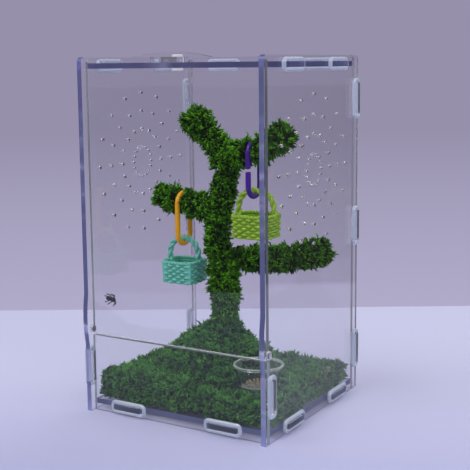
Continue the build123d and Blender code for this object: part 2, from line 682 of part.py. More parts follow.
def add_basket(x, y, hang_z):
    """Add a basket with its bow handle hanging on a wire whose middle is at hang_z."""
    bow_centre = hang_z + LINK_WIRE + HANDLE_GAP + HANDLE_WIRE - HANDLE_SPAN / 2
    rim_z = bow_centre - HANDLE_LEG
    bottom = rim_z - BASKET_HEIGHT
    with BuildSketch(Plane.XY.offset(bottom)) as outside:
        with Locations((x, y)):
            RectangleRounded(BASKET_LENGTH, BASKET_WIDTH, BASKET_CORNER)
    extrude(outside.sketch, amount=BASKET_HEIGHT, taper=-BASKET_FLARE)
    with BuildLine(Plane(origin=(x, y, bow_centre), x_dir=X_ALONG, z_dir=OUT_FRONT)) as bow:
        Line((HANDLE_SPAN / 2, -HANDLE_LEG - HANDLE_ROOT), (HANDLE_SPAN / 2, 0))
        CenterArc((0, 0), HANDLE_SPAN / 2, 0, 180)
        Line((-HANDLE_SPAN / 2, 0), (-HANDLE_SPAN / 2, -HANDLE_LEG - HANDLE_ROOT))
    with BuildSketch(Plane(origin=bow.line @ 0, z_dir=bow.line % 0)) as bow_section:
        Circle(HANDLE_WIRE)
    sweep(bow_section.sketch, path=bow.line)
    inner_length = BASKET_LENGTH - 2 * BASKET_WALL
    inner_width = BASKET_WIDTH - 2 * BASKET_WALL
    with BuildSketch(Plane.XY.offset(bottom + BASKET_FLOOR)) as inside:
        with Locations((x, y)):
            RectangleRounded(inner_length, inner_width, BASKET_CORNER - BASKET_WALL)
    extrude(inside.sketch, amount=BASKET_HEIGHT - BASKET_FLOOR, taper=-BASKET_FLARE, mode=Mode.SUBTRACT)
    rim_half_x = (BASKET_LENGTH - BASKET_WALL) / 2 + BASKET_HEIGHT * sin(radians(BASKET_FLARE))
    rim_half_y = (BASKET_WIDTH - BASKET_WALL) / 2 + BASKET_HEIGHT * sin(radians(BASKET_FLARE))
    with BuildLine(Plane(origin=(x, y, rim_z), z_dir=Z_ALONG)) as rim:
        FilletPolyline(
            (-rim_half_x, -rim_half_y),
            (rim_half_x, -rim_half_y),
            (rim_half_x, rim_half_y),
            (-rim_half_x, rim_half_y),
            radius=BASKET_CORNER,
            close=True,
        )
    with BuildSketch(Plane(origin=rim.line @ 0, z_dir=rim.line % 0)) as rim_section:
        Circle(BASKET_RIM)
    sweep(rim_section.sketch, path=rim.line)


LINK_DROP = LINK_STRAIGHT + LINK_ARM
with BuildPart() as teal_basket:
    add_basket(AMBER_X, AMBER_Y, AMBER_Z - LINK_DROP)
write(teal_basket, "teal_basket")

with BuildPart() as lime_basket:
    add_basket(PURPLE_X, PURPLE_Y, PURPLE_Z - LINK_DROP)
write(lime_basket, "lime_basket")

# Feeding cup: a clear tapered cup with a turned lip, and the food in it
CUP_SLOPE = (CUP_RIM_RADIUS - CUP_BASE_RADIUS) / CUP_HEIGHT
INNER_BASE = CUP_BASE_RADIUS - CUP_WALL + CUP_SLOPE * CUP_FLOOR
with BuildPart() as cup_shape:
    with BuildSketch(Plane.XZ):
        with BuildLine():
            Polyline(
                (0, 0),
                (CUP_BASE_RADIUS, 0),
                (CUP_RIM_RADIUS, CUP_HEIGHT),
                (CUP_RIM_RADIUS - CUP_WALL, CUP_HEIGHT),
                (INNER_BASE, CUP_FLOOR),
                (0, CUP_FLOOR),
                close=True,
            )
        make_face()
        with Locations((CUP_RIM_RADIUS - CUP_LIP, CUP_HEIGHT)):
            Circle(CUP_LIP)
    revolve(axis=Axis.Z)
with BuildPart() as feeding_cup:
    with Locations((CUP_X, CUP_Y, CUP_BOTTOM)):
        add(cup_shape.part)
write(feeding_cup, "feeding_cup")

FOOD_BOTTOM = CUP_BOTTOM + CUP_FLOOR
FOOD_RADIUS = INNER_BASE - FOOD_GAP
with BuildPart() as food_shape:
    with BuildSketch(Plane.XZ):
        with BuildLine():
            Polyline((FOOD_RADIUS, 0), (0, 0), (0, FOOD_HEIGHT))
            ThreePointArc(
                (0, FOOD_HEIGHT),
                (FOOD_SHOULDER_OUT * FOOD_RADIUS, FOOD_SHOULDER_UP * FOOD_HEIGHT),
                (FOOD_RADIUS, 0),
            )
        make_face()
    revolve(axis=Axis.Z)
with BuildPart() as dried_food:
    with Locations((CUP_X, CUP_Y, FOOD_BOTTOM)):
        add(food_shape.part)
write(dried_food, "dried_food")

# Spider: two rounded body halves and eight bent legs, flat against the inside of the door
DOOR_INSIDE = Plane(origin=(SPIDER_X, WALL_REAR, SPIDER_Z), x_dir=X_ALONG, z_dir=OUT_BACK)


def add_body_half(along, up, half_length, half_width):
    """Add one egg-shaped half of the body, its long axis along the door."""
    middle = Plane(DOOR_INSIDE.location * Location((along, -up, SPIDER_LIFT)))
    with BuildSketch(middle) as half:
        Ellipse(half_length, half_width)
        with Locations((0, -half_width)):
            Rectangle(2 * half_length, 2 * half_width, mode=Mode.SUBTRACT)
    revolve(half.sketch, axis=Axis(middle.origin, middle.x_dir))


def add_leg(along, up):
    """Add one leg from the fore body over a raised knee to a foot on the door."""
    hip = (FORE_BODY[0] + HIP_SHARE * along, -FORE_BODY[1], SPIDER_LIFT)
    knee = (FORE_BODY[0] + KNEE_SHARE * (along - FORE_BODY[0]), -KNEE_SHARE * up, SPIDER_KNEE)
    foot = (along, -up, SPIDER_LEG + SPIDER_FOOT_GAP)
    with BuildLine(DOOR_INSIDE) as leg:
        FilletPolyline(hip, knee, foot, radius=2 * SPIDER_LEG)
    with BuildSketch(Plane(origin=leg.line @ 0, z_dir=leg.line % 0)) as section:
        Circle(SPIDER_LEG)
    sweep(section.sketch, path=leg.line)


with BuildPart() as spider_figure:
    add_body_half(*ABDOMEN)
    add_body_half(*FORE_BODY)
    for foot_place in LEG_FEET:
        add_leg(*foot_place)
write(spider_figure, "spider_figure")

print("link outer height", 2 * (LINK_ARM + LINK_WIRE) + LINK_STRAIGHT)
print("band outer length", TAB_LENGTH + 2 * BAND_END_SLACK + 2 * BAND_WIRE)
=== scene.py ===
"""Looks of a clear spider terrarium: sheets, bands, moss tree, hanging baskets and feeding cup.

Every length is in metres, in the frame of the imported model: the box stands on z = 0 and its door faces -Y.
"""
import json
import logging
import math
from dataclasses import dataclass, field
from enum import Enum
from functools import cache
from typing import Callable, Sequence

import bmesh
import bpy
import numpy as np
from mathutils import Matrix, Vector, noise


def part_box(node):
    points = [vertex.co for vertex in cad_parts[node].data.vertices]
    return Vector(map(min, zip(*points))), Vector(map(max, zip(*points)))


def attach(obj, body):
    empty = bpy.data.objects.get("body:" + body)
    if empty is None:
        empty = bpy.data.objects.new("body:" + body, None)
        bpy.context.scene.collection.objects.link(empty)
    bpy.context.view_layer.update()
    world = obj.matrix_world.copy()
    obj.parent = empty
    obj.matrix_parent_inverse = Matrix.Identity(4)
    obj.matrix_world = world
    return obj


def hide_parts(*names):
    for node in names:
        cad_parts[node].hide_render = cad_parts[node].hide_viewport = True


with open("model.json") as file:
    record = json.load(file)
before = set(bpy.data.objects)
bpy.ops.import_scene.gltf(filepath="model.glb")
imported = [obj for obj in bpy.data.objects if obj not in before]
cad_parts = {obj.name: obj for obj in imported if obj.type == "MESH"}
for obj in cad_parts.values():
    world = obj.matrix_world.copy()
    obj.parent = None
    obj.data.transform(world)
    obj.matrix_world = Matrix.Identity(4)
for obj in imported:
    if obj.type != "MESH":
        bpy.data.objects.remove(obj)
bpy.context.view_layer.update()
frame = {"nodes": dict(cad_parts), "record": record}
LOG = logging.getLogger("terrarium")
MM = 0.001
NUMBER, COLOUR, VECTOR = "NodeSocketFloat", "NodeSocketColor", "NodeSocketVector"
Colour = tuple[float, float, float]
Point = tuple[float, float, float]
Piece = bpy.types.Object
Node = bpy.types.Node
Socket = bpy.types.NodeSocket
PointTest = Callable[[np.ndarray], np.ndarray]
BLACK: Colour = (0.0, 0.0, 0.0)


class SheetFace(Enum):
    """Which way the broad faces of a clear sheet look."""

    SIDE = (1.0, 0.0, 0.0)
    FRONT = (0.0, 1.0, 0.0)
    LEVEL = (0.0, 0.0, 1.0)


@dataclass(frozen=True)
class EdgeTone:
    """Colour, glow and polish of a clear sheet's cut edges: the colour is a painted tint and shade, the glow
    a painted light that the edge gives out with no lamp in it.
    """

    colour: Colour
    glow: Colour
    roughness: float = 0.4


class Edge(Enum):
    """The painted tints and glows of the clear sheets' cut edges, lighter or darker from one part of the box
    to another.
    """

    UPRIGHT = EdgeTone((0.45, 0.45, 0.62), (0.068, 0.075, 0.195))
    VIOLET = EdgeTone((0.06, 0.06, 0.13), (0.026, 0.028, 0.078))
    LOW = EdgeTone((0.24, 0.25, 0.38), (0.036, 0.040, 0.070))
    SEAM = EdgeTone((0.50, 0.54, 0.60), (0.052, 0.060, 0.082))
    FAR = EdgeTone((0.60, 0.60, 0.70), (0.050, 0.048, 0.065))
    PLAIN = EdgeTone((0.95, 0.95, 0.98), (0.012, 0.012, 0.016), 0.05)


class WeaveStep(Enum):
    """How a row of the basket weave starts against the stakes."""

    OUT = 0.0
    IN = math.pi


# Node trees


@dataclass
class Wiring:
    """A node tree being written, with short calls for its nodes and wires."""

    tree: bpy.types.NodeTree

    def add(self, kind: str, **settings: object) -> Node:
        """Add a node.

        Args:
            kind: The node's type.
            **settings: Its properties.

        Returns:
            The node.
        """
        node = self.tree.nodes.new(kind)
        for name, value in settings.items():
            setattr(node, name, value)
        return node

    def feed(self, value: object, target: Socket) -> None:
        """Give a socket its value.

        Args:
            value: A socket to run a wire from, or a number, a vector or a colour.
            target: The socket that takes it.
        """
        if isinstance(value, bpy.types.NodeSocket):
            self.tree.links.new(value, target)
        elif target.type == "RGBA":
            target.default_value = (*value, 1.0)
        else:
            target.default_value = value

    def place(self, kind: str = "Object") -> Socket:
        """Return the shaded point's place on the object, or its normal or UV where that kind is given."""
        return self.add("ShaderNodeTexCoord").outputs[kind]

    def mirrored(self) -> Socket:
        """Return 1 for what is seen in a reflection and 0 for all else."""
        return self.maths("GREATER_THAN", self.add("ShaderNodeLightPath").outputs["Glossy Depth"], 0.5)

    def maths(self, operation: str, *inputs: object) -> Socket:
        """Add a maths node.

        Args:
            operation: The operation's name.
            *inputs: Numbers or sockets, in the node's order.

        Returns:
            The node's result.
        """
        node = self.add("ShaderNodeMath", operation=operation)
        for value, target in zip(inputs, node.inputs):
            self.feed(value, target)
        return node.outputs[0]

    def vector_maths(self, operation: str, *inputs: Socket) -> Socket:
        """Add a vector maths node.

        Args:
            operation: The operation's name.
            *inputs: Vectors, in the node's order.

        Returns:
            A number for a product or a length, and a vector for all else.
        """
        node = self.add("ShaderNodeVectorMath", operation=operation)
        for value, target in zip(inputs, node.inputs):
            self.feed(value, target)
        return node.outputs["Value" if operation in ("DOT_PRODUCT", "LENGTH") else "Vector"]

    def axes(self, vector: Socket) -> Sequence[Socket]:
        """Take a vector apart.

        Args:
            vector: The vector.

        Returns:
            Its X, Y and Z.
        """
        node = self.add("ShaderNodeSeparateXYZ")
        self.feed(vector, node.inputs[0])
        return tuple(node.outputs)

    def blend(self, factor: object, first: object, second: object) -> Socket:
        """Mix two colours.

        Args:
            factor: A number or a socket, 0 for the first colour and 1 for the second.
            first: A colour or a socket.
            second: A colour or a socket.

        Returns:
            The mixed colour.
        """
        node = self.add("ShaderNodeMix", data_type="RGBA")
        for value, index in ((factor, 0), (first, 6), (second, 7)):
            self.feed(value, node.inputs[index])
        return node.outputs[2]

    def ramp(self, value: Socket, start: float, end: float) -> Socket:
        """Lead a value smoothly from 0 to 1.

        Args:
            value: The value.
            start: Where the result is 0.
            end: Where the result is 1.

        Returns:
            The result, which stays level outside the two.
        """
        node = self.add("ShaderNodeMapRange", interpolation_type="SMOOTHSTEP")
        for label, given in (("Value", value), ("From Min", start), ("From Max", end)):
            self.feed(given, node.inputs[label])
        return node.outputs[0]

    def spots(self, where: Socket, scale: float, detail: float = 2.0) -> Socket:
        """Add a cloud pattern.

        Args:
            where: The place on the object.
            scale: Cells per metre.
            detail: Finer layers on top.

        Returns:
            The pattern, about 0 to 1.
        """
        node = self.add("ShaderNodeTexNoise")
        for label, given in (("Vector", where), ("Scale", scale), ("Detail", detail)):
            self.feed(given, node.inputs[label])
        return node.outputs["Fac"]


def start_group(name: str, takes: dict[str, str], gives: dict[str, str]) -> tuple[Wiring, object, object]:
    """Start a shader group with named inputs and outputs.

    Args:
        name: The group's name.
        takes: Input names and their socket types.
        gives: Output names and their socket types.

    Returns:
        The wiring of the group, its input node's outputs and its output node's inputs.
    """
    tree = bpy.data.node_groups.new(name, "ShaderNodeTree")
    for side, sockets in (("INPUT", takes), ("OUTPUT", gives)):
        for label, kind in sockets.items():
            tree.interface.new_socket(name=label, in_out=side, socket_type=kind)
    wiring = Wiring(tree)
    return wiring, wiring.add("NodeGroupInput").outputs, wiring.add("NodeGroupOutput").inputs


@cache
def surface_wear_group() -> bpy.types.NodeTree:
    """Give moulded surfaces their colour drift, uneven gloss and fine grain.

    Returns:
        The shader group.
    """
    wiring, takes, gives = start_group(
        "surface_wear",
        {"Place": VECTOR, "Colour": COLOUR, "Deep colour": COLOUR, "Roughness": NUMBER, "Spread": NUMBER},
        {"Colour": COLOUR, "Roughness": NUMBER, "Height": NUMBER},
    )
    broad = wiring.spots(takes["Place"], scale=160.0, detail=3.0)
    fine = wiring.spots(takes["Place"], scale=2600.0)
    drift = wiring.maths("SUBTRACT", broad, 0.5)
    wiring.feed(wiring.blend(broad, takes["Colour"], takes["Deep colour"]), gives["Colour"])
    wiring.feed(wiring.maths("MULTIPLY_ADD", drift, takes["Spread"], takes["Roughness"]), gives["Roughness"])
    wiring.feed(wiring.maths("MULTIPLY_ADD", broad, 0.5, fine), gives["Height"])
    return wiring.tree


@cache
def sheet_edge_group() -> bpy.types.NodeTree:
    """Tell a clear sheet's cut edges and holes from its broad faces, and give them their painted tint and
    painted glow.

    Returns:
        The shader group.
    """
    wiring, takes, gives = start_group(
        "sheet_edge",
        {label: VECTOR for label in ("Place", "Direction", "Face axis", "Middle", "Half size")}
        | {label: COLOUR for label in ("Face colour", "Edge colour", "Edge glow", "Far glow")}
        | {"Edge roughness": NUMBER},
        {"Colour": COLOUR, "Glow": COLOUR, "Roughness": NUMBER, "Height": NUMBER, "Cover": NUMBER},
    )
    broad_face_from = 0.6
    # Painted glint in the vent holes, given out though no lamp is there.
    hole_glow = (0.13, 0.125, 0.17)
    hole_thinning = 0.6
    far_from, far_to = -0.02, 0.03
    least_streak, streak_range = 0.55, 0.9
    scuffed_from, scuff_roughness = 0.62, 0.03
    hole_roughness = 0.1
    place = takes["Place"]
    facing = wiring.vector_maths("DOT_PRODUCT", takes["Direction"], takes["Face axis"])
    edge = wiring.maths("LESS_THAN", wiring.maths("ABSOLUTE", facing), broad_face_from)
    offset = wiring.vector_maths("SUBTRACT", place, takes["Middle"])
    share = wiring.vector_maths("ABSOLUTE", wiring.vector_maths("DIVIDE", offset, takes["Half size"]))
    share_x, share_y, share_z = wiring.axes(share)
    furthest = wiring.maths("MAXIMUM", share_x, wiring.maths("MAXIMUM", share_y, share_z))
    hole = wiring.maths("LESS_THAN", furthest, 1.0)
    # The painted edge glow changes from the front edges to the far ones, and to the holes' painted glint.
    far = wiring.ramp(wiring.axes(place)[1], far_from, far_to)
    rim_glow = wiring.blend(far, takes["Edge glow"], takes["Far glow"])
    rim_glow = wiring.blend(hole, rim_glow, hole_glow)
    # The cut edges take the painted edge tint; the holes' walls keep the face colour.
    rim_colour = wiring.blend(hole, takes["Edge colour"], takes["Face colour"])
    pierced = wiring.maths("MULTIPLY", edge, hole)
    wiring.feed(wiring.maths("MULTIPLY_ADD", pierced, -hole_thinning, 1.0), gives["Cover"])
    wiring.feed(wiring.blend(edge, takes["Face colour"], rim_colour), gives["Colour"])
    # Streaks of brighter and dimmer painted glow along the edges.
    streaks = wiring.maths("MULTIPLY_ADD", wiring.spots(place, scale=70.0), streak_range, least_streak)
    wiring.feed(wiring.blend(wiring.maths("MULTIPLY", edge, streaks), BLACK, rim_glow), gives["Glow"])
    scuff = wiring.maths("GREATER_THAN", wiring.spots(place, scale=900.0, detail=3.0), scuffed_from)
    scuffed = wiring.maths("MULTIPLY", scuff, scuff_roughness)
    matt = wiring.maths("MULTIPLY_ADD", hole, hole_roughness, takes["Edge roughness"])
    wiring.feed(wiring.maths("MULTIPLY_ADD", edge, matt, scuffed), gives["Roughness"])
    wiring.feed(wiring.spots(place, scale=30.0, detail=1.0), gives["Height"])
    return wiring.tree


@cache
def moss_shade_group() -> bpy.types.NodeTree:
    """Colour a moss leaf from a dark root to a bright tip, partly painted shade deep in the moss and painted
    light on the tips, with a drift from patch to patch.

    Returns:
        The shader group.
    """
    wiring, takes, gives = start_group(
        "moss_shade",
        {"Place": VECTOR, "Leaf": VECTOR, "Deep": COLOUR, "Middle": COLOUR, "Tip": COLOUR},
        {"Colour": COLOUR, "Roughness": NUMBER, "Height": NUMBER},
    )
    root_bias, tone_bias = 1.2, 1.6
    least_bright, bright_range = 0.08, 0.9
    dusk_from, dusk_range, dusk_limit = -0.62, 1.6, 0.5
    least_roughness, roughness_range = 0.5, 0.25
    tone, height, _ = wiring.axes(takes["Leaf"])
    # Towards the root the leaf takes the deep colour, a painted shade; towards the tip the tip colour, partly
    # painted light.
    along = wiring.maths("POWER", height, root_bias)
    lower = wiring.blend(along, takes["Deep"], takes["Middle"])
    bright = wiring.maths("POWER", tone, tone_bias)
    bright = wiring.maths("MULTIPLY_ADD", bright, bright_range, least_bright)
    leafy = wiring.blend(wiring.maths("MULTIPLY", along, bright), lower, takes["Tip"])
    patch = wiring.spots(takes["Place"], scale=120.0, detail=3.0)
    dusk = wiring.maths("MAXIMUM", wiring.maths("MULTIPLY_ADD", patch, dusk_range, dusk_from), 0.0)
    dusk = wiring.maths("MINIMUM", dusk, dusk_limit)
    wiring.feed(wiring.blend(dusk, leafy, takes["Deep"]), gives["Colour"])
    wiring.feed(wiring.maths("MULTIPLY_ADD", tone, roughness_range, least_roughness), gives["Roughness"])
    wiring.feed(wiring.spots(takes["Place"], scale=1500.0, detail=3.0), gives["Height"])
    return wiring.tree


# Finishes


def start_material(name: str, fixed: dict[str, object]) -> tuple[bpy.types.Material, Wiring, Node]:
    """Start a material with one main shader.

    Args:
        name: The material's name.
        fixed: Values of the shader's own sockets.

    Returns:
        The material, its wiring and its main shader.
    """
    material = bpy.data.materials.new(name)
    material.use_nodes = True
    wiring = Wiring(material.node_tree)
    shader = material.node_tree.nodes["Principled BSDF"]
    for label, value in fixed.items():
        wiring.feed(value, shader.inputs[label])
    return material, wiring, shader


def place_group(wiring: Wiring, shader: Node, tree: bpy.types.NodeTree, values: dict[str, object]) -> Node:
    """Add a shared group to a material and let it set the shader's colour and roughness.

    Args:
        wiring: The material's wiring.
        shader: Its main shader.
        tree: The group, with an input for the place on the object.
        values: What its other inputs take.

    Returns:
        The group's node.
    """
    group = wiring.add("ShaderNodeGroup", node_tree=tree)
    for label, value in ({"Place": wiring.place()} | values).items():
        wiring.feed(value, group.inputs[label])
    wiring.feed(group.outputs["Colour"], shader.inputs["Base Color"])
    wiring.feed(group.outputs["Roughness"], shader.inputs["Roughness"])
    return group


def roughen(wiring: Wiring, shader: Node, height: Socket, depth: float, strength: float) -> None:
    """Feed a height to the shader as a bump.

    Args:
        wiring: The material's wiring.
        shader: Its main shader.
        height: The height pattern.
        depth: How deep the bumps are, in metres.
        strength: How strongly they count.
    """
    bump = wiring.add("ShaderNodeBump")
    for label, value in (("Strength", strength), ("Distance", depth), ("Height", height)):
        wiring.feed(value, bump.inputs[label])
    wiring.feed(bump.outputs["Normal"], shader.inputs["Normal"])


def let_light_through(wiring: Wiring, shader: Node, shade: float, cover: object = 1.0) -> None:
    """Make a clear material throw only a faint shadow.

    Args:
        wiring: The material's wiring.
        shader: Its main shader.
        shade: The share of light that it holds back.
        cover: A number or a socket, how much of the surface is there at all.
    """
    path = wiring.add("ShaderNodeLightPath")
    soft = wiring.maths("MAXIMUM", path.outputs["Is Shadow Ray"], path.outputs["Is Diffuse Ray"])
    held = wiring.maths("MULTIPLY_ADD", soft, shade - 1.0, 1.0)
    wiring.feed(wiring.maths("MULTIPLY", held, cover), shader.inputs["Alpha"])


@dataclass(frozen=True)
class SheetFinish:
    """Clear polished sheet whose cut edges carry a painted violet-blue glow and tint."""

    name: str
    face: SheetFace
    edge: EdgeTone
    middle: Point
    half_size: Point
    face_colour: Colour = (0.98, 0.98, 0.99)
    shade: float = 0.06

    def build(self) -> bpy.types.Material:
        """Make the finish.

        Returns:
            Its material.
        """
        fixed = {"IOR": 1.49, "Transmission Weight": 1.0, "Emission Strength": 1.0}
        material, wiring, shader = start_material(self.name, fixed)
        # Side sheets show the far edges' painted glow towards the back; the other sheets keep one glow.
        far_tone = Edge.FAR.value if self.face is SheetFace.SIDE else self.edge
        values = {
            "Direction": wiring.place("Normal"),
            "Face axis": self.face.value,
            "Middle": self.middle,
            "Half size": self.half_size,
            "Face colour": self.face_colour,
            "Edge colour": self.edge.colour,
            "Edge glow": self.edge.glow,
            "Far glow": far_tone.glow,
            "Edge roughness": self.edge.roughness,
        }
        group = place_group(wiring, shader, sheet_edge_group(), values)
        # The edges' painted glow goes out as emitted light.
        wiring.feed(group.outputs["Glow"], shader.inputs["Emission Color"])
        roughen(wiring, shader, group.outputs["Height"], depth=0.2 * MM, strength=0.15)
        let_light_through(wiring, shader, self.shade, group.outputs["Cover"])
        return material


@dataclass(frozen=True)
class CupFinish:
    """Clear moulding with a painted pale glow round its rim and its foot."""

    name: str
    rim: float
    foot: float
    reach: float = 0.6 * MM
    full_share: float = 0.6
    foot_share: float = 0.3
    # Painted glow of the rim and foot, given out though the cup is no lamp.
    glow: Colour = (0.20, 0.235, 0.23)
    colour: Colour = (0.97, 0.98, 0.99)
    shade: float = 0.15

    def build(self) -> bpy.types.Material:
        """Make the finish.

        Returns:
            Its material.
        """
        fixed = {"IOR": 1.46, "Transmission Weight": 1.0, "Roughness": 0.05, "Emission Strength": 1.0}
        material, wiring, shader = start_material(self.name, fixed | {"Base Color": self.colour})
        height = wiring.axes(wiring.place())[2]
        # Rings of painted glow at the rim's and the foot's heights.
        rings = []
        for level, share in ((self.rim, 1.0), (self.foot, self.foot_share)):
            away = wiring.maths("ABSOLUTE", wiring.maths("SUBTRACT", height, level))
            ring = wiring.ramp(away, self.reach, self.reach * self.full_share)
            rings.append(wiring.maths("MULTIPLY", ring, share))
        lit = wiring.blend(wiring.maths("MAXIMUM", *rings), BLACK, self.glow)
        wiring.feed(lit, shader.inputs["Emission Color"])
        ripples = wiring.spots(wiring.place(), scale=400.0)
        roughen(wiring, shader, ripples, depth=0.02 * MM, strength=0.3)
        let_light_through(wiring, shader, self.shade)
        return material


@dataclass(frozen=True)
class MouldedFinish:
    """Moulded plastic, rubber or coated metal with slight colour drift and a fine grain."""

    name: str
    colour: Colour
    deep_colour: Colour
    roughness: float = 0.35
    spread: float = 0.15
    grain: float = 0.02 * MM
    clearness: float = 0.0
    index: float = 1.47
    shade: float = 1.0

    def build(self) -> bpy.types.Material:
        """Make the finish.

        Returns:
            Its material.
        """
        fixed = {"IOR": self.index, "Transmission Weight": self.clearness}
        material, wiring, shader = start_material(self.name, fixed)
        values = {
            "Colour": self.colour,
            "Deep colour": self.deep_colour,
            "Roughness": self.roughness,
            "Spread": self.spread,
        }
        group = place_group(wiring, shader, surface_wear_group(), values)
        roughen(wiring, shader, group.outputs["Height"], depth=self.grain, strength=0.5)
        if self.shade < 1.0:
            let_light_through(wiring, shader, self.shade)
        return material


@dataclass(frozen=True)
class MossFinish:
    """Dried moss, dark at the root of each leaf and fresh green at its tip: partly its own colour, partly
    painted shade deep down and painted light on the tips.
    """

    name: str
    deep: Colour
    middle: Colour
    tip: Colour

    def build(self) -> bpy.types.Material:
        """Make the finish.

        Returns:
            Its material.
        """
        material, wiring, shader = start_material(self.name, {"Specular IOR Level": 0.08})
        values = {"Leaf": wiring.place("UV"), "Deep": self.deep, "Middle": self.middle, "Tip": self.tip}
        group = place_group(wiring, shader, moss_shade_group(), values)
        roughen(wiring, shader, group.outputs["Height"], depth=0.3 * MM, strength=0.4)
        return material


# Mesh helpers


def clear_selection() -> None:
    """Deselect everything, so that an operator acts on one piece alone."""
    if bpy.context.object and bpy.context.object.mode != "OBJECT":
        bpy.ops.object.mode_set(mode="OBJECT")
    bpy.ops.object.select_all(action="DESELECT")


def pick(piece: Piece) -> Piece:
    """Select one piece alone and make it the active one.

    Args:
        piece: The piece.

    Returns:
        The same piece.
    """
    clear_selection()
    piece.select_set(True)
    bpy.context.view_layer.objects.active = piece
    return piece


def settle(piece: Piece) -> Piece:
    """Move a piece's place, turn and scale into its mesh.

    Args:
        piece: The piece.

    Returns:
        The same piece.
    """
    pick(piece)
    bpy.ops.object.transform_apply(location=True, rotation=True, scale=True)
    return piece


def apply_modifier(piece: Piece, name: str, kind: str, **settings: object) -> None:
    """Add a modifier and apply it.

    Args:
        piece: The piece to shape.
        name: The modifier's name.
        kind: Its type.
        **settings: Its properties.
    """
    pick(piece)
    modifier = piece.modifiers.new(name, kind)
    for label, value in settings.items():
        setattr(modifier, label, value)
    bpy.ops.object.modifier_apply(modifier=name)


def unite(pieces: Sequence[Piece], name: str) -> Piece:
    """Join pieces into one object.

    Args:
        pieces: The pieces, the first of which stays.
        name: The joined object's name.

    Returns:
        The joined object.
    """
    pick(pieces[0])
    for piece in pieces:
        piece.select_set(True)
    bpy.ops.object.join()
    pieces[0].name = name
    return pieces[0]


def link_object(name: str, data: bpy.types.ID) -> bpy.types.Object:
    """Put new data into the scene.

    Args:
        name: The object's name.
        data: A mesh, a lamp or a camera.

    Returns:
        The object that holds it.
    """
    made = bpy.data.objects.new(name, data)
    bpy.context.scene.collection.objects.link(made)
    return made


def smooth_sharp(piece: Piece, degrees: float) -> None:
    """Shade a piece smooth but for edges sharper than the given angle."""
    pick(piece)
    bpy.ops.object.shade_smooth_by_angle(angle=math.radians(degrees))


def dress(piece: Piece, material: bpy.types.Material) -> None:
    """Give a piece one material all over."""
    piece.data.materials.clear()
    piece.data.materials.append(material)


def joint_place(name: str) -> Point:
    """Return the point that a joint turns about."""
    joints = frame["record"]["behaviour"]["joints"]
    return tuple(next(joint["pos_m"] for joint in joints if joint["name"] == name))


def box_of(node: str) -> tuple[Vector, Vector, Vector]:
    """Return the low corner, the high corner and the middle of a node's box."""
    low, high = (Vector(corner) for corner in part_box(node))
    return low, high, (low + high) / 2.0


@dataclass(frozen=True)
class RouteSpot:
    """A point of a route, with two directions square to the route."""

    point: Vector
    across: Vector
    beside: Vector

    def at(self, angle: float, distance: float) -> Vector:
        """Return the point at an angle round the route and a distance from it."""
        return self.point + (self.across * math.cos(angle) + self.beside * math.sin(angle)) * distance


def follow(route: Sequence[Vector], closed: bool, across: Vector | None = None) -> list[RouteSpot]:
    """Walk along a route without turning about it.

    Args:
        route: Its points.
        closed: Whether its ends meet.
        across: A direction off the route to start with, or None for any.

    Returns:
        One spot for each point.
    """
    count = len(route)
    spots = []
    for index, point in enumerate(route):
        after = route[(index + 1) % count] if closed else route[min(index + 1, count - 1)]
        before = route[index - 1] if closed or index else route[0]
        heading = (after - before).normalized()
        if across is None:
            across = heading.orthogonal().normalized()
        across = (across - heading * across.dot(heading)).normalized()
        spots.append(RouteSpot(point, across, heading.cross(across)))
    return spots


def strand(
    name: str,
    route: Sequence[Vector],
    radius: float,
    sides: int,
    closed: bool,
    swell: Callable[[float], float] | None = None,
) -> Piece:
    """Make a round strand along a route, which no primitive can follow.

    Args:
        name: The strand's name.
        route: Points along its middle.
        radius: Its radius.
        sides: How many sides it has.
        closed: Whether its ends meet.
        swell: Scale of the radius along it, from 0 at the start to 1 at the end.

    Returns:
        The strand.
    """
    count = len(route)
    points, faces = [], []
    for index, spot in enumerate(follow(route, closed)):
        size = radius * (swell(index / (count - 1)) if swell else 1.0)
        points += [spot.at(2.0 * math.pi * side / sides, size) for side in range(sides)]
    for ring in range(count if closed else count - 1):
        here, there = ring * sides, ((ring + 1) % count) * sides
        for side in range(sides):
            nearby = (side + 1) % sides
            faces.append((here + side, here + nearby, there + nearby, there + side))
    if not closed:
        faces.append(tuple(reversed(range(sides))))
        faces.append(tuple(range((count - 1) * sides, count * sides)))
    mesh = bpy.data.meshes.new(name)
    mesh.from_pydata(points, [], faces)
    mesh.update()
    return link_object(name, mesh)


@dataclass(frozen=True)
class Rope:
    """Two strands wound round each other."""

    offset: float
    radius: float
    turns: float
    sides: int
    closed: bool

    def lay(self, name: str, route: Sequence[Vector], across: Vector) -> list[Piece]:
        """Lay the rope along a route.

        Args:
            name: The start of the strands' names.
            route: Points along the rope's middle.
            across: The direction off the route in which the first strand starts.

        Returns:
            The two strands.
        """
        steps = len(route) if self.closed else len(route) - 1
        spots = follow(route, self.closed, across)
        strands = []
        for number in range(2):
            wound = []
            for index, spot in enumerate(spots):
                angle = math.pi * number + 2.0 * math.pi * self.turns * index / steps
                wound.append(spot.at(angle, self.offset))
            strands.append(strand(f"{name}_{number}", wound, self.radius, self.sides, self.closed))
        return strands


# Moss


def unit(vectors: np.ndarray) -> np.ndarray:
    """Return the vectors at length one."""
    return vectors / np.maximum(np.linalg.norm(vectors, axis=1), 1e-12)[:, None]


def read_rows(items: bpy.types.bpy_prop_collection, label: str, kind: type = float) -> np.ndarray:
    """Read a property of three numbers.

    Args:
        items: The items to read it from.
        label: The property's name.
        kind: The type of its numbers.

    Returns:
        One row for each item.
    """
    rows = np.empty(len(items) * 3, dtype=kind)
    items.foreach_get(label, rows)
    return rows.reshape(-1, 3)


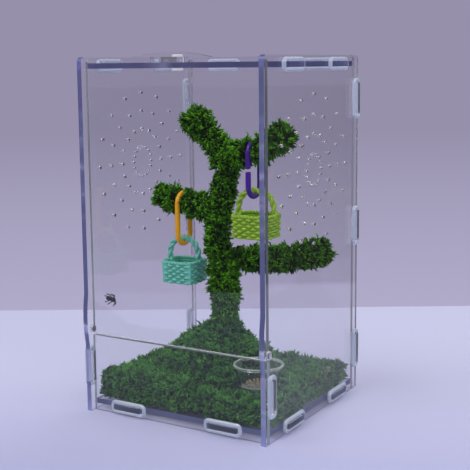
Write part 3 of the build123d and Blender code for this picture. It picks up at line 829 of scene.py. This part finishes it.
@dataclass(frozen=True)
class MossCoat:
    """How thick, long and wild the leaves of a moss surface stand, and how lumpy it is."""

    per_square_mm: float = 1.05
    length: float = 4.5 * MM
    width: float = 1.35 * MM
    bend_share: float = 0.6
    rooting: float = 0.3 * MM
    stray: float = 0.012
    stray_growth: float = 1.7
    swirl: float = 2.0
    swirl_scale: float = 300.0
    shortest: float = 0.6
    length_range: float = 0.6
    ruffle: float = 0.3
    least_rise: float = 0.2
    curl: float = 0.9
    sink: float = 2.9 * MM
    voxel: float = 1.1 * MM
    lumps: float = 2.0 * MM
    lump_scale: float = 185.0


@dataclass
class MossPart:
    """One soft moss node, rebuilt as a lumpy core under thousands of small leaves."""

    node: str
    slot: str
    finish: bpy.types.Material
    seed: int
    coat: MossCoat = MossCoat()
    keep_out: tuple[PointTest, ...] = ()
    low: Point = (-56.7 * MM, -51.0 * MM, 6.7 * MM)
    high: Point = (56.7 * MM, 52.4 * MM, 199.0 * MM)
    core_uv: tuple[float, float] = (0.2, 0.1)

    def core(self) -> Piece:
        """Make a lumpy core that lies a little under the node's surface.

        Returns:
            The core.
        """
        piece = link_object(f"{self.node}_looks", frame["nodes"][self.node].data.copy())
        pick(piece)
        bpy.ops.object.mode_set(mode="EDIT")
        bpy.ops.mesh.select_all(action="SELECT")
        bpy.ops.mesh.remove_doubles(threshold=0.01 * MM)
        bpy.ops.mesh.normals_make_consistent(inside=False)
        bpy.ops.object.mode_set(mode="OBJECT")
        apply_modifier(piece, "even_mesh", "REMESH", mode="VOXEL", voxel_size=self.coat.voxel)
        apply_modifier(piece, "under_leaves", "DISPLACE", strength=-self.coat.sink, mid_level=0.0)
        vertices = piece.data.vertices
        places = read_rows(vertices, "co")
        lift = np.array([noise.noise(Vector(place) * self.coat.lump_scale) for place in places])
        places += read_rows(vertices, "normal") * (lift * self.coat.lumps)[:, None]
        vertices.foreach_set("co", np.clip(places, self.low, self.high).ravel())
        piece.data.update()
        return piece

    def leaves(self, core: Piece) -> Piece:
        """Make the leaves that stand on a core.

        Args:
            core: The core.

        Returns:
            One object with all the leaves.
        """
        coat = self.coat
        rng = np.random.default_rng(self.seed)
        noise.seed_set(self.seed)
        core.data.calc_loop_triangles()
        corners = read_rows(core.data.loop_triangles, "vertices", int)
        places = read_rows(core.data.vertices, "co")
        first, second, third = (places[corners[:, index]] for index in range(3))
        cross = np.cross(second - first, third - first)
        area = np.linalg.norm(cross, axis=1) / 2.0
        count = int(area.sum() / MM**2 * coat.per_square_mm)
        chosen = rng.choice(len(area), size=count, p=area / area.sum())
        u, v = rng.random(count), rng.random(count)
        flip = u + v > 1.0
        u[flip], v[flip] = 1.0 - u[flip], 1.0 - v[flip]
        roots = first[chosen] + (second - first)[chosen] * u[:, None] + (third - first)[chosen] * v[:, None]
        outward = cross[chosen] / np.maximum(2.0 * area[chosen], 1e-20)[:, None]
        swirl = np.array([noise.noise_vector(Vector(root) * coat.swirl_scale) for root in roots])
        lean = unit(outward + swirl * coat.swirl + rng.normal(0.0, coat.ruffle, (count, 3)))
        rise = (lean * outward).sum(1)
        lean = unit(lean + outward * np.maximum(coat.least_rise - rise, 0.0)[:, None])
        curl = unit(lean + rng.normal(0.0, coat.curl, (count, 3)))
        reach = coat.length * (coat.shortest + coat.length_range * rng.random(count))[:, None]
        reach[rng.random(count) < coat.stray] *= coat.stray_growth
        bends = roots + lean * reach * coat.bend_share
        tips = np.clip(bends + curl * reach * (1.0 - coat.bend_share), self.low, self.high)
        bends = np.clip(bends, self.low, self.high)
        keep = np.ones(count, dtype=bool)
        for test in self.keep_out:
            keep &= ~(test(tips) | test(bends))
        feet = roots - outward * coat.rooting
        return self.blades(feet[keep], bends[keep], tips[keep], lean[keep], rng)

    def blades(
        self,
        feet: np.ndarray,
        bends: np.ndarray,
        tips: np.ndarray,
        lean: np.ndarray,
        rng: np.random.Generator,
    ) -> Piece:
        """Make closed three-sided leaves that swell to a bend and end in a point.

        Args:
            feet: Where they start.
            bends: Where they bend.
            tips: Where they end.
            lean: Their directions up to the bend.
            rng: The source of chance.

        Returns:
            One object with all the leaves, each of ten triangles, with tone and height as its UV.
        """
        foot_width, bend_width, flatness = 0.6, 1.0, 0.55
        narrowest, width_range = 0.75, 0.5
        bend_height = 0.62
        count = len(feet)
        across = unit(np.cross(lean, rng.normal(size=(count, 3))))
        beside = np.cross(lean, across)
        half = self.coat.width / 2.0 * (narrowest + width_range * rng.random(count))[:, None]
        rings = []
        for middle, width in ((feet, foot_width), (bends, bend_width)):
            for turn in range(3):
                angle = 2.0 * math.pi * turn / 3
                flat = across * math.cos(angle) + beside * math.sin(angle) * flatness
                rings.append(middle + flat * half * width)
        points = np.stack([*rings, tips], axis=1).reshape(-1, 3)
        per_leaf = len(rings) + 1
        corners = [(2, 1, 0), (3, 4, 6), (4, 5, 6), (5, 3, 6)]
        for side in range(3):
            after = (side + 1) % 3
            corners += [(side, after, after + 3), (side, after + 3, side + 3)]
        faces = (np.arange(count)[:, None, None] * per_leaf + np.array(corners)[None, :, :]).reshape(-1, 3)
        mesh = bpy.data.meshes.new(f"{self.node}_leaves")
        mesh.vertices.add(len(points))
        mesh.vertices.foreach_set("co", points.ravel())
        mesh.loops.add(len(faces) * 3)
        mesh.loops.foreach_set("vertex_index", faces.ravel().astype(np.int32))
        mesh.polygons.add(len(faces))
        mesh.polygons.foreach_set("loop_start", np.arange(0, len(faces) * 3, 3, dtype=np.int32))
        mesh.update(calc_edges=True)
        tone = np.repeat(rng.random(count), len(corners) * 3)
        height = np.array([0.0] * 3 + [bend_height] * 3 + [1.0])[faces.ravel() % per_leaf]
        uv = mesh.uv_layers.new(name="leaf")
        uv.data.foreach_set("uv", np.stack([tone, height], axis=1).ravel())
        mesh.polygons.foreach_set("use_smooth", [True] * len(faces))
        return link_object(mesh.name, mesh)

    def build(self) -> Piece:
        """Build the part, dress it, hide the node that it stands in for and hang it on the enclosure's body.

        Returns:
            The part.
        """
        core = self.core()
        # The core takes the leaves' root colour, a painted shade under the leaves.
        for loop in core.data.uv_layers.new(name="leaf").data:
            loop.uv = self.core_uv
        core.data.polygons.foreach_set("use_smooth", [True] * len(core.data.polygons))
        piece = unite([core, self.leaves(core)], f"{self.node}_looks")
        dress(piece, self.finish)
        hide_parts(self.node)
        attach(piece, "enclosure")
        LOG.info("%s: %d faces", piece.name, len(piece.data.polygons))
        return piece


def near_link(centre: Point, arm: float, straight: float, reach: float, swing: Sequence[float]) -> PointTest:
    """Return a test for points near an open link's wire, at rest and while it swings.

    Args:
        centre: The middle of its upper bow.
        arm: Half the distance between its arms.
        straight: The length of its arms.
        reach: How near counts.
        swing: The turns about X that are looked at, in degrees.

    Returns:
        A test that takes points and gives one truth value for each.
    """

    def test(points: np.ndarray) -> np.ndarray:
        """Look for points near the wire.

        Args:
            points: One row for each point.

        Returns:
            One truth value for each point.
        """
        local = points - np.array(centre)
        near = np.zeros(len(points), dtype=bool)
        for turn in np.radians(swing):
            across = local[:, 1] * math.cos(turn) + local[:, 2] * math.sin(turn)
            along = local[:, 2] * math.cos(turn) - local[:, 1] * math.sin(turn)
            radial = np.hypot(across, along - np.clip(along, -straight, 0.0))
            near |= np.hypot(radial - arm, local[:, 0]) < reach
        return near

    return test


def near_cup(centre: Vector, radius: float, bottom: float) -> PointTest:
    """Return a test for points where the cup stands.

    Args:
        centre: Its middle.
        radius: The radius to keep clear.
        bottom: The height from which it counts.

    Returns:
        A test that takes points and gives one truth value for each.
    """

    def test(points: np.ndarray) -> np.ndarray:
        """Return which points lie in the cup's space."""
        away = np.hypot(points[:, 0] - centre.x, points[:, 1] - centre.y)
        return (away < radius) & (points[:, 2] > bottom)

    return test


# Sub-assemblies


@dataclass
class ClearBox:
    """The clear sheets, the hole cover and its rivet, and the bands: nodes that keep their shapes."""

    # Each sheet's cut edges take one painted edge tint and glow.
    sheets: dict[str, tuple[SheetFace, Edge]] = field(
        default_factory=lambda: {
            "left_side_panel": (SheetFace.SIDE, Edge.UPRIGHT),
            "right_side_panel": (SheetFace.SIDE, Edge.UPRIGHT),
            "base_panel": (SheetFace.LEVEL, Edge.LOW),
            "top_panel": (SheetFace.LEVEL, Edge.VIOLET),
            "back_panel": (SheetFace.FRONT, Edge.FAR),
            "front_lower_panel": (SheetFace.FRONT, Edge.SEAM),
            "door_panel": (SheetFace.FRONT, Edge.SEAM),
            "feed_port_cover": (SheetFace.LEVEL, Edge.PLAIN),
            "tree_foot": (SheetFace.LEVEL, Edge.FAR),
        }
    )
    side_inset: float = 4.0 * MM
    tab_inset: float = 8.0 * MM

    def finish(self, node: str, face: SheetFace, edge: Edge) -> bpy.types.Material:
        """Make the finish of one sheet, which counts edges well inside its outline as holes.

        Args:
            node: The sheet.
            face: Which way its broad faces look.
            edge: The tone of its cut edges.

        Returns:
            Its material.
        """
        low, high, middle = box_of(node)
        inset = self.side_inset if face is SheetFace.SIDE else self.tab_inset
        half = (high - low) / 2.0 - Vector((inset, inset, inset))
        half = tuple(1.0 if along else size for along, size in zip(face.value, half))
        return SheetFinish(f"clear_{node}", face, edge.value, tuple(middle), half).build()

    def build(self) -> None:
        """Dress the sheets, the bands, the rivet and the wires inside the tree."""
        for node, (face, edge) in self.sheets.items():
            dress(frame["nodes"][node], self.finish(node, face, edge))
        milky = MouldedFinish(
            "milky_silicone",
            (0.74, 0.80, 0.89),
            (0.64, 0.71, 0.82),
            roughness=0.3,
            clearness=0.55,
            index=1.41,
            grain=0.03 * MM,
            shade=0.5,
        ).build()
        for node, piece in frame["nodes"].items():
            if node.endswith(("_bands", "_band")):
                dress(piece, milky)
        nylon = MouldedFinish("white_nylon", (0.82, 0.82, 0.8), (0.72, 0.72, 0.7), roughness=0.45)
        wire = MouldedFinish("coated_wire", (0.012, 0.055, 0.006), (0.006, 0.03, 0.004), roughness=0.6)
        for node, finish in (("cover_rivet", nylon), ("tree_armature", wire)):
            dress(frame["nodes"][node], finish.build())
        LOG.info("clear box dressed")


@dataclass
class MossTree:
    """The moss tree and the moss floor."""

    arm: float = 6.7 * MM
    straight: float = 17.5 * MM
    link_room: float = 2.4 * MM
    swing: tuple[float, ...] = (-20.0, -10.0, 0.0, 10.0, 20.0)
    cup_room: float = 0.4 * MM
    # Deep, middle and tip colours: the deep one is painted shade within the moss, the tip one partly painted
    # light.
    finishes: tuple[MossFinish, MossFinish] = (
        MossFinish("tree_moss", (0.002, 0.012, 0.001), (0.020, 0.135, 0.003), (0.25, 0.78, 0.015)),
        MossFinish("floor_moss", (0.004, 0.024, 0.008), (0.026, 0.18, 0.022), (0.19, 0.58, 0.075)),
    )
    tree_nodes: tuple[str, ...] = (
        "trunk_moss",
        "upper_left_branch_moss",
        "upper_right_branch_moss",
        "left_branch_moss",
        "lower_right_branch_moss",
    )

    def link_test(self, joint: str) -> PointTest:
        """Return the test for points in the way of the link that a joint swings."""
        return near_link(joint_place(joint), self.arm, self.straight, self.link_room, self.swing)

    def cup_test(self) -> PointTest:
        """Return the test for points where the feeding cup stands."""
        low, high, middle = box_of("feeding_cup")
        return near_cup(middle, (high.x - low.x) / 2.0 + self.cup_room, low.z - self.cup_room)

    def build(self) -> None:
        """Build every moss part."""
        tree, ground = (finish.build() for finish in self.finishes)
        links = tuple(self.link_test(joint) for joint in ("amber_link_swing", "purple_link_swing"))
        cup = (self.cup_test(),)
        for seed, node in enumerate(self.tree_nodes, start=1):
            MossPart(node, "tree_moss", tree, seed, keep_out=links).build()
        MossPart("root_mound_moss", "tree_moss", ground, seed=11, keep_out=cup).build()
        mat = MossCoat(sink=2.5 * MM, stray=0.0, voxel=1.3 * MM, lumps=2.6 * MM, lump_scale=130.0)
        MossPart("left_moss_mat", "floor_moss", ground, seed=21, coat=mat).build()
        MossPart("right_moss_mat", "floor_moss", ground, seed=22, coat=mat, keep_out=cup).build()


@dataclass
class WovenBasket:
    """A small basket: woven sides, rope rim, floor and twisted bow handle."""

    node: str
    body: str
    finish: bpy.types.Material
    slot: str
    length: float = 21.5 * MM
    width: float = 19.5 * MM
    height: float = 13.3 * MM
    corner: float = 5.0 * MM
    flare: float = math.radians(2.0)
    wall_half: float = 0.75 * MM
    rows: int = 7
    first_row: float = 1.0 * MM
    row_ends: float = 1.4 * MM
    stakes: int = 24
    points_per_stake: int = 6
    strand_radius: float = 0.86 * MM
    weave: float = 0.55 * MM
    floor_thickness: float = 1.5 * MM
    floor_strands: int = 7
    floor_pitch: float = 2.1 * MM
    bow_radius: float = 10.25 * MM
    bow_wire: float = 1.8 * MM
    bow_leg: float = 3.85 * MM

    @property
    def centre(self) -> Vector:
        """The middle of the basket, level with its rim."""
        _, high, middle = box_of(self.node)
        return Vector((middle.x, middle.y, high.z - self.bow_wire - self.bow_radius - self.bow_leg))

    @property
    def floor_height(self) -> float:
        """Height of the basket's underside."""
        return self.centre.z - self.height

    def loop(self, height: float, outset: float, count: int) -> list[Vector]:
        """Return even points round the basket's wall.

        Args:
            height: Height over the basket's floor.
            outset: Distance outside the wall's middle.
            count: How many points.

        Returns:
            The points, all at one height.
        """
        grow = height * math.tan(self.flare) + outset - self.wall_half
        half_x = self.length / 2.0 + grow
        half_y = self.width / 2.0 + grow
        radius = self.corner + grow
        quarter = math.pi / 2.0 * radius
        total = 4.0 * (half_x - radius) + 4.0 * (half_y - radius) + 4.0 * quarter
        middle = Vector((self.centre.x, self.centre.y, self.floor_height + height))
        points = []
        for index in range(count):
            run = total * index / count
            side, reach_x, reach_y = 0, half_x, half_y
            while run > 2.0 * (reach_x - radius) + quarter:
                run -= 2.0 * (reach_x - radius) + quarter
                side, reach_x, reach_y = side + 1, reach_y, reach_x
            straight = 2.0 * (reach_x - radius)
            local = Vector((run - straight / 2.0, -reach_y, 0.0))
            if run > straight:
                angle = (run - straight) / radius - math.pi / 2.0
                local.x = reach_x - radius + radius * math.cos(angle)
                local.y = -reach_y + radius + radius * math.sin(angle)
            points.append(Matrix.Rotation(side * math.pi / 2.0, 3, "Z") @ local + middle)
        return points

    def row(self, index: int, step: WeaveStep) -> Piece:
        """Weave one row, which swells out over every other stake.

        Args:
            index: Its number, from the bottom.
            step: How it starts against the stakes.

        Returns:
            The row.
        """
        count = self.stakes * self.points_per_stake
        height = self.first_row + (self.height - self.row_ends) / self.rows * index
        mean_swell, swell_range = 0.82, 0.3

        def swell(share: float) -> float:
            """Return how thick the row is at a share of its way round."""
            angle = math.pi * share * (count - 1) / self.points_per_stake
            return mean_swell + swell_range * math.sin(angle + step.value)

        middle = self.loop(height, 0.0, count)
        outer = self.loop(height, 1.0 * MM, count)
        route = []
        for number, (inside, outside) in enumerate(zip(middle, outer)):
            wave = math.sin(math.pi * number / self.points_per_stake + step.value)
            route.append(inside + (outside - inside).normalized() * self.weave * wave)
        return strand(
            f"{self.node}_row_{index}", route, self.strand_radius, sides=8, closed=True, swell=swell
        )

    def lining(self) -> Piece:
        """Make the thin tapered shell that closes the weave from inside, with the floor.

        Returns:
            The shell.
        """
        thinner, rim_drop, wall, floor_inset = 0.8 * MM, 0.4 * MM, 0.6 * MM, 2.0 * MM
        clear_selection()
        middle = self.centre - Vector((0.0, 0.0, self.height / 2.0))
        bpy.ops.mesh.primitive_cube_add(size=1.0, location=middle)
        shell = bpy.context.object
        shell.name = f"{self.node}_lining"
        shell.scale = (self.length - 2.0 * thinner, self.width - 2.0 * thinner, self.height - rim_drop)
        settle(shell)
        bpy.ops.object.mode_set(mode="EDIT")
        mesh = bmesh.from_edit_mesh(shell.data)
        for edge in mesh.edges:
            edge.select = abs(edge.verts[0].co.z - edge.verts[1].co.z) > self.height / 2.0
        mesh.select_flush_mode()
        bmesh.update_edit_mesh(shell.data)
        bpy.ops.mesh.select_mode(type="EDGE")
        bpy.ops.mesh.bevel(offset=self.corner - thinner, segments=6, affect="EDGES")
        bpy.ops.mesh.select_mode(type="FACE")
        mesh = bmesh.from_edit_mesh(shell.data)
        for face in mesh.faces:
            face.select = face.normal.z > 0.9
        bmesh.update_edit_mesh(shell.data)
        spread = 1.0 + 2.0 * self.height * math.tan(self.flare) / self.length
        bpy.ops.transform.resize(value=(spread, spread, 1.0))
        bpy.ops.mesh.inset(thickness=wall)
        bpy.ops.transform.translate(value=(0.0, 0.0, self.floor_thickness + rim_drop - self.height))
        bpy.ops.mesh.inset(thickness=floor_inset)
        bpy.ops.object.mode_set(mode="OBJECT")
        return shell

    def floor_weave(self) -> list[Piece]:
        """Lay the wavy strands that show on the basket's underside.

        Returns:
            The strands.
        """
        steps, radius, wave_height, end_gap = 16, 0.75 * MM, 0.25 * MM, 2.2 * MM
        half = self.length / 2.0 - end_gap
        strands = []
        for index in range(self.floor_strands):
            offset = (index - (self.floor_strands - 1) / 2.0) * self.floor_pitch
            route = []
            for step in range(steps + 1):
                along = -half + 2.0 * half * step / steps
                wave = math.sin(math.pi * (step / 2.0 + index)) * wave_height
                height = self.floor_height + radius + wave
                route.append(Vector((self.centre.x + along, self.centre.y + offset, height)))
            name = f"{self.node}_floor_{index}"
            strands.append(strand(name, route, radius, sides=6, closed=False))
        return strands

    def rim(self) -> list[Piece]:
        """Lay the rope along the top of the wall.

        Returns:
            Its two strands.
        """
        rope = Rope(offset=0.528 * MM, radius=0.682 * MM, turns=16, sides=7, closed=True)
        drop, outset, points = 0.3 * MM, 0.15 * MM, 168
        route = self.loop(self.height - drop, outset, points)
        return rope.lay(f"{self.node}_rim", route, Vector((0.0, 0.0, 1.0)))

    def handle(self) -> list[Piece]:
        """Make the bow handle, a thick rope whose ends reach down inside the wall.

        Returns:
            Its two strands.
        """
        leg_steps, bow_steps, depth = 10, 60, 2.4 * MM
        rope = Rope(offset=0.84 * MM, radius=1.06 * MM, turns=4.5, sides=9, closed=False)
        middle = self.centre + Vector((0.0, 0.0, self.bow_leg))
        foot = self.bow_leg + depth
        route = []
        for step in range(leg_steps):
            route.append(middle + Vector((self.bow_radius, 0.0, -foot + foot * step / leg_steps)))
        for step in range(bow_steps + 1):
            angle = math.pi * step / bow_steps
            route.append(middle + Vector((math.cos(angle), 0.0, math.sin(angle))) * self.bow_radius)
        for step in range(1, leg_steps + 1):
            route.append(middle + Vector((-self.bow_radius, 0.0, -foot * step / leg_steps)))
        return rope.lay(f"{self.node}_bow", route, Vector((0.0, 1.0, 0.0)))

    def build(self) -> Piece:
        """Build the basket, dress it, hide the node that it stands in for and hang it on its body.

        Returns:
            The basket.
        """
        parts = [self.lining()]
        for index in range(self.rows):
            parts.append(self.row(index, WeaveStep.OUT if index % 2 == 0 else WeaveStep.IN))
        parts += self.rim() + self.floor_weave() + self.handle()
        piece = unite(parts, f"{self.node}_looks")
        smooth_sharp(piece, degrees=50.0)
        dress(piece, self.finish)
        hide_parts(self.node)
        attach(piece, self.body)
        LOG.info("%s: %d faces", piece.name, len(piece.data.polygons))
        return piece


class Plastic(Enum):
    """The coloured plastics of the hanging things."""

    AMBER = MouldedFinish("amber_plastic", (0.93, 0.46, 0.002), (0.83, 0.37, 0.001), roughness=0.33)
    PURPLE = MouldedFinish("purple_plastic", (0.075, 0.012, 0.30), (0.045, 0.008, 0.20), roughness=0.3)
    TEAL = MouldedFinish("teal_plastic", (0.20, 0.64, 0.50), (0.15, 0.54, 0.42), roughness=0.42)
    LIME = MouldedFinish("lime_plastic", (0.33, 0.55, 0.035), (0.26, 0.46, 0.025), roughness=0.42)


@dataclass
class HangingSet:
    """The two open links and the baskets that hang on them."""

    def build(self) -> None:
        """Dress the links and build both baskets."""
        for node, plastic in (("amber_link", Plastic.AMBER), ("purple_link", Plastic.PURPLE)):
            dress(frame["nodes"][node], plastic.value.build())
        for node, plastic in (("teal_basket", Plastic.TEAL), ("lime_basket", Plastic.LIME)):
            WovenBasket(node, node, plastic.value.build(), plastic.value.name).build()


@dataclass
class FeedingSet:
    """The clear cup, the dried food in it and the crumbs dropped beside it."""

    radius: float = 8.2 * MM
    foot_level: float = 1.2 * MM
    crumbs: int = 90
    crumb_radius: float = 0.62 * MM
    crown: float = 1.1 * MM
    dropped: int = 10
    dropped_at: Point = (53.0 * MM, 29.0 * MM, 60.0 * MM)
    dropped_spread: tuple[float, float] = (1.0 * MM, 3.2 * MM)
    dropped_radius: float = 0.95 * MM
    dropped_lift: float = 0.6 * MM
    heap_seed: int = 5
    dropped_seed: int = 8

    def build(self) -> None:
        """Dress the cup and build the food."""
        low, high, _ = box_of("feeding_cup")
        clear = CupFinish("clear_moulding", rim=high.z, foot=low.z + self.foot_level).build()
        dress(frame["nodes"]["feeding_cup"], clear)
        food = MouldedFinish(
            "dried_food", (0.43, 0.33, 0.20), (0.22, 0.16, 0.09), roughness=0.75, grain=0.15 * MM
        ).build()
        stray = self.dropped_crumbs()
        dress(stray, food)
        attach(stray, "enclosure")
        piece = self.heap()
        dress(piece, food)
        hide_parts("dried_food")
        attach(piece, "cup")

    def scatter(self, name: str, places: Sequence[Vector], size: float, rng: np.random.Generator) -> Piece:
        """Return crumbs of uneven shapes at the given places, as one object.

        Args:
            name: The object's name.
            places: The crumbs' middles.
            size: Their radius before they are squeezed.
            rng: The source of chance.

        Returns:
            The crumbs.
        """
        least_scale, scale_range = 0.65, 0.55
        parts = []
        for place in places:
            clear_selection()
            bpy.ops.mesh.primitive_ico_sphere_add(subdivisions=1, radius=size, location=place)
            crumb = bpy.context.object
            crumb.rotation_euler = rng.random(3) * math.pi
            crumb.scale = least_scale + rng.random(3) * scale_range
            parts.append(settle(crumb))
        return unite(parts, name)

    def heap(self) -> Piece:
        """Heap up crumbs, higher to one side.

        Returns:
            The heap.
        """
        low_side = 0.35
        rng = np.random.default_rng(self.heap_seed)
        low, _, middle = box_of("dried_food")
        centre = Vector((middle.x, middle.y, low.z))
        places = []
        for _ in range(self.crumbs):
            reach = self.radius * math.sqrt(rng.random())
            angle = rng.random() * 2.0 * math.pi
            side = 0.5 - 0.5 * math.cos(angle)
            crown = (1.0 - (reach / self.radius) ** 2) * self.crown * (low_side + (1.0 - low_side) * side)
            height = self.crumb_radius + crown * rng.random()
            places.append(centre + Vector((math.cos(angle) * reach, math.sin(angle) * reach, height)))
        return self.scatter("food_crumbs", places, self.crumb_radius, rng)

    def dropped_crumbs(self) -> Piece:
        """Drop a few crumbs on the moss at the back.

        Returns:
            The crumbs.
        """
        rng = np.random.default_rng(self.dropped_seed)
        mat = bpy.data.objects["right_moss_mat_looks"]
        bpy.context.view_layer.update()
        places = []
        for shift in rng.normal(0.0, 1.0, (self.dropped, 2)) * self.dropped_spread:
            start = Vector(self.dropped_at) + Vector((*shift, 0.0))
            found, point, _, _ = mat.ray_cast(start, Vector((0.0, 0.0, -1.0)))
            if found:
                places.append(point + Vector((0.0, 0.0, self.dropped_lift)))
        return self.scatter("dropped_crumbs", places, self.dropped_radius, rng)


@dataclass
class DoorSpider:
    """The small black figure on the inside of the door."""

    finish: MouldedFinish = MouldedFinish(
        "satin_black", (0.003, 0.003, 0.005), (0.008, 0.008, 0.009), roughness=0.5, grain=0.08 * MM, index=1.2
    )

    def build(self) -> None:
        """Dress the figure."""
        dress(frame["nodes"]["spider_figure"], self.finish.build())


# Stage


@dataclass(frozen=True)
class PhotoCamera:
    """The photograph's camera as fitted to the box: lengths in pixels, turns in degrees, place in metres."""

    picture: float = 470.0
    focal: float = 1001.8
    middle_x: float = 236.7
    middle_y: float = 210.0
    sensor: float = 36.0
    nearest: float = 0.01
    turn: float = 30.6
    tilt: float = 81.742
    roll: float = -0.557
    place: Point = (0.30607, -0.50194, 0.20101)

    def build(self) -> None:
        """Set up the camera at the photograph's angle."""
        data = bpy.data.cameras.new("camera")
        data.sensor_width = self.sensor
        data.lens = self.focal / self.picture * self.sensor
        data.shift_x = 0.5 - self.middle_x / self.picture
        data.shift_y = self.middle_y / self.picture - 0.5
        data.clip_start = self.nearest
        camera = link_object("camera", data)
        turns = ((self.turn, "Z"), (self.tilt, "X"), (self.roll, "Z"))
        turn, tilt, roll = (Matrix.Rotation(math.radians(angle), 4, axis) for angle, axis in turns)
        camera.matrix_world = Matrix.Translation(self.place) @ turn @ tilt @ roll
        bpy.context.scene.camera = camera


@dataclass
class Studio:
    """The floor, the lamps, the surroundings and the camera."""

    camera: PhotoCamera = PhotoCamera()
    floor_radius: float = 9.0
    # The table's near and far colours paint shade on it, darker towards the camera; the wall colours are a
    # painted glow, and room is a painted dim room seen in reflections.
    floor_near: Colour = (0.40, 0.405, 0.64)
    floor_far: Colour = (0.605, 0.605, 0.81)
    floor_reach: tuple[float, float] = (-0.25, 0.12)
    room: Colour = (0.045, 0.042, 0.055)
    mirrored_reach: tuple[float, float] = (0.365, 0.395)
    wall_near: Colour = (0.434, 0.407, 0.584)
    wall_far: Colour = (0.305, 0.279, 0.407)
    wall_fade: float = 1.6
    sky: Colour = (0.50, 0.50, 0.56)
    mirrored_sky: Colour = (0.13, 0.12, 0.16)
    table_depth: float = 0.225
    table_edge: float = 0.004
    table_ends: tuple[float, float] = (0.9, 1.1)
    lamps: tuple[tuple[str, Point, float, float], ...] = (
        ("key", (-0.55, -0.75, 1.25), 0.7, 9.0),
        ("fill", (0.95, -0.35, 0.8), 0.8, 4.0),
        ("back", (0.1, 0.9, 1.1), 0.8, 5.0),
    )
    lamps_look_at: Point = (0.0, 0.0, 0.1)

    def floor(self) -> None:
        """Lay a pale table that ends straight behind the object, where the backdrop's tone starts."""
        clear_selection()
        bpy.ops.mesh.primitive_circle_add(vertices=96, radius=self.floor_radius, fill_type="NGON")
        floor = bpy.context.object
        floor.name = "floor"
        dress(floor, self.floor_material())

    def floor_material(self) -> bpy.types.Material:
        """Make the table's tone, darker towards the camera as painted shade, the backdrop as a painted glow
        that dims with distance, and a painted dim room beyond them that shows only in reflections.

        Returns:
            The material.
        """
        material, wiring, shader = start_material("pale_floor", {"Roughness": 0.5})
        place = wiring.place()
        turned = wiring.add("ShaderNodeVectorRotate", rotation_type="Z_AXIS")
        wiring.feed(place, turned.inputs["Vector"])
        wiring.feed(-math.radians(self.camera.turn), turned.inputs["Angle"])
        across, depth, _ = wiring.axes(turned.outputs["Vector"])
        # The table is darker towards the camera: painted shade.
        near = wiring.ramp(depth, *self.floor_reach)
        wiring.feed(wiring.blend(near, self.floor_near, self.floor_far), shader.inputs["Base Color"])
        edge = wiring.ramp(depth, self.table_depth, self.table_depth + self.table_edge)
        for way in (wiring.maths("ABSOLUTE", across), wiring.maths("MULTIPLY", depth, -1.0)):
            edge = wiring.maths("MAXIMUM", edge, wiring.ramp(way, *self.table_ends))
        far = wiring.maths("MAXIMUM", wiring.maths("SUBTRACT", depth, self.table_depth), 0.0)
        fade = wiring.ramp(wiring.maths("POWER", far, 0.5), 0.0, self.wall_fade)
        # The backdrop is a painted glow that dims with distance.
        glow = wiring.add("ShaderNodeEmission")
        wiring.feed(wiring.blend(fade, self.wall_near, self.wall_far), glow.inputs["Color"])
        # A painted dim room, shown only in reflections beyond the table.
        dusk = wiring.add("ShaderNodeEmission")
        wiring.feed(self.room, dusk.inputs["Color"])
        distance = wiring.vector_maths("LENGTH", place)
        beyond = wiring.maths("MULTIPLY", wiring.mirrored(), wiring.ramp(distance, *self.mirrored_reach))
        surface = shader.outputs[0]
        for factor, other in ((edge, glow), (beyond, dusk)):
            mix = wiring.add("ShaderNodeMixShader")
            for value, target in zip((factor, surface, other.outputs[0]), mix.inputs):
                wiring.feed(value, target)
            surface = mix.outputs[0]
        wiring.feed(surface, material.node_tree.nodes["Material Output"].inputs["Surface"])
        return material

    def surroundings(self) -> None:
        """Light the object evenly from all round, and show the backdrop's tone to the camera."""
        world = bpy.data.worlds.new("studio")
        world.use_nodes = True
        bpy.context.scene.world = world
        wiring = Wiring(world.node_tree)
        path = wiring.add("ShaderNodeLightPath")
        seen = wiring.maths("MAXIMUM", path.outputs["Is Camera Ray"], path.outputs["Is Transmission Ray"])
        lit = wiring.blend(seen, self.sky, self.wall_far)
        shown = wiring.blend(wiring.mirrored(), lit, self.mirrored_sky)
        wiring.feed(shown, world.node_tree.nodes["Background"].inputs["Color"])

    def lamp(self, name: str, place: Point, size: float, power: float) -> None:
        """Hang a square lamp that looks at the object.

        Args:
            name: The lamp's name.
            place: Where it hangs.
            size: Its side.
            power: Its power in watts.
        """
        data = bpy.data.lights.new(name, "AREA")
        data.size = size
        data.energy = power
        heading = Vector(self.lamps_look_at) - Vector(place)
        turn = heading.to_track_quat("-Z", "Y").to_matrix().to_4x4()
        link_object(name, data).matrix_world = Matrix.Translation(place) @ turn

    def build(self) -> None:
        """Build the stage."""
        self.camera.build()
        self.floor()
        self.surroundings()
        for lamp in self.lamps:
            self.lamp(*lamp)
        bpy.context.scene.view_settings.view_transform = "Standard"


def main() -> None:
    """Build the stage and the sub-assemblies in order."""
    logging.basicConfig(level=logging.INFO, format="%(name)s: %(message)s")
    for assembly in (Studio, ClearBox, MossTree, HangingSet, FeedingSet, DoorSpider):
        assembly().build()


if __name__ == "__main__":
    main()
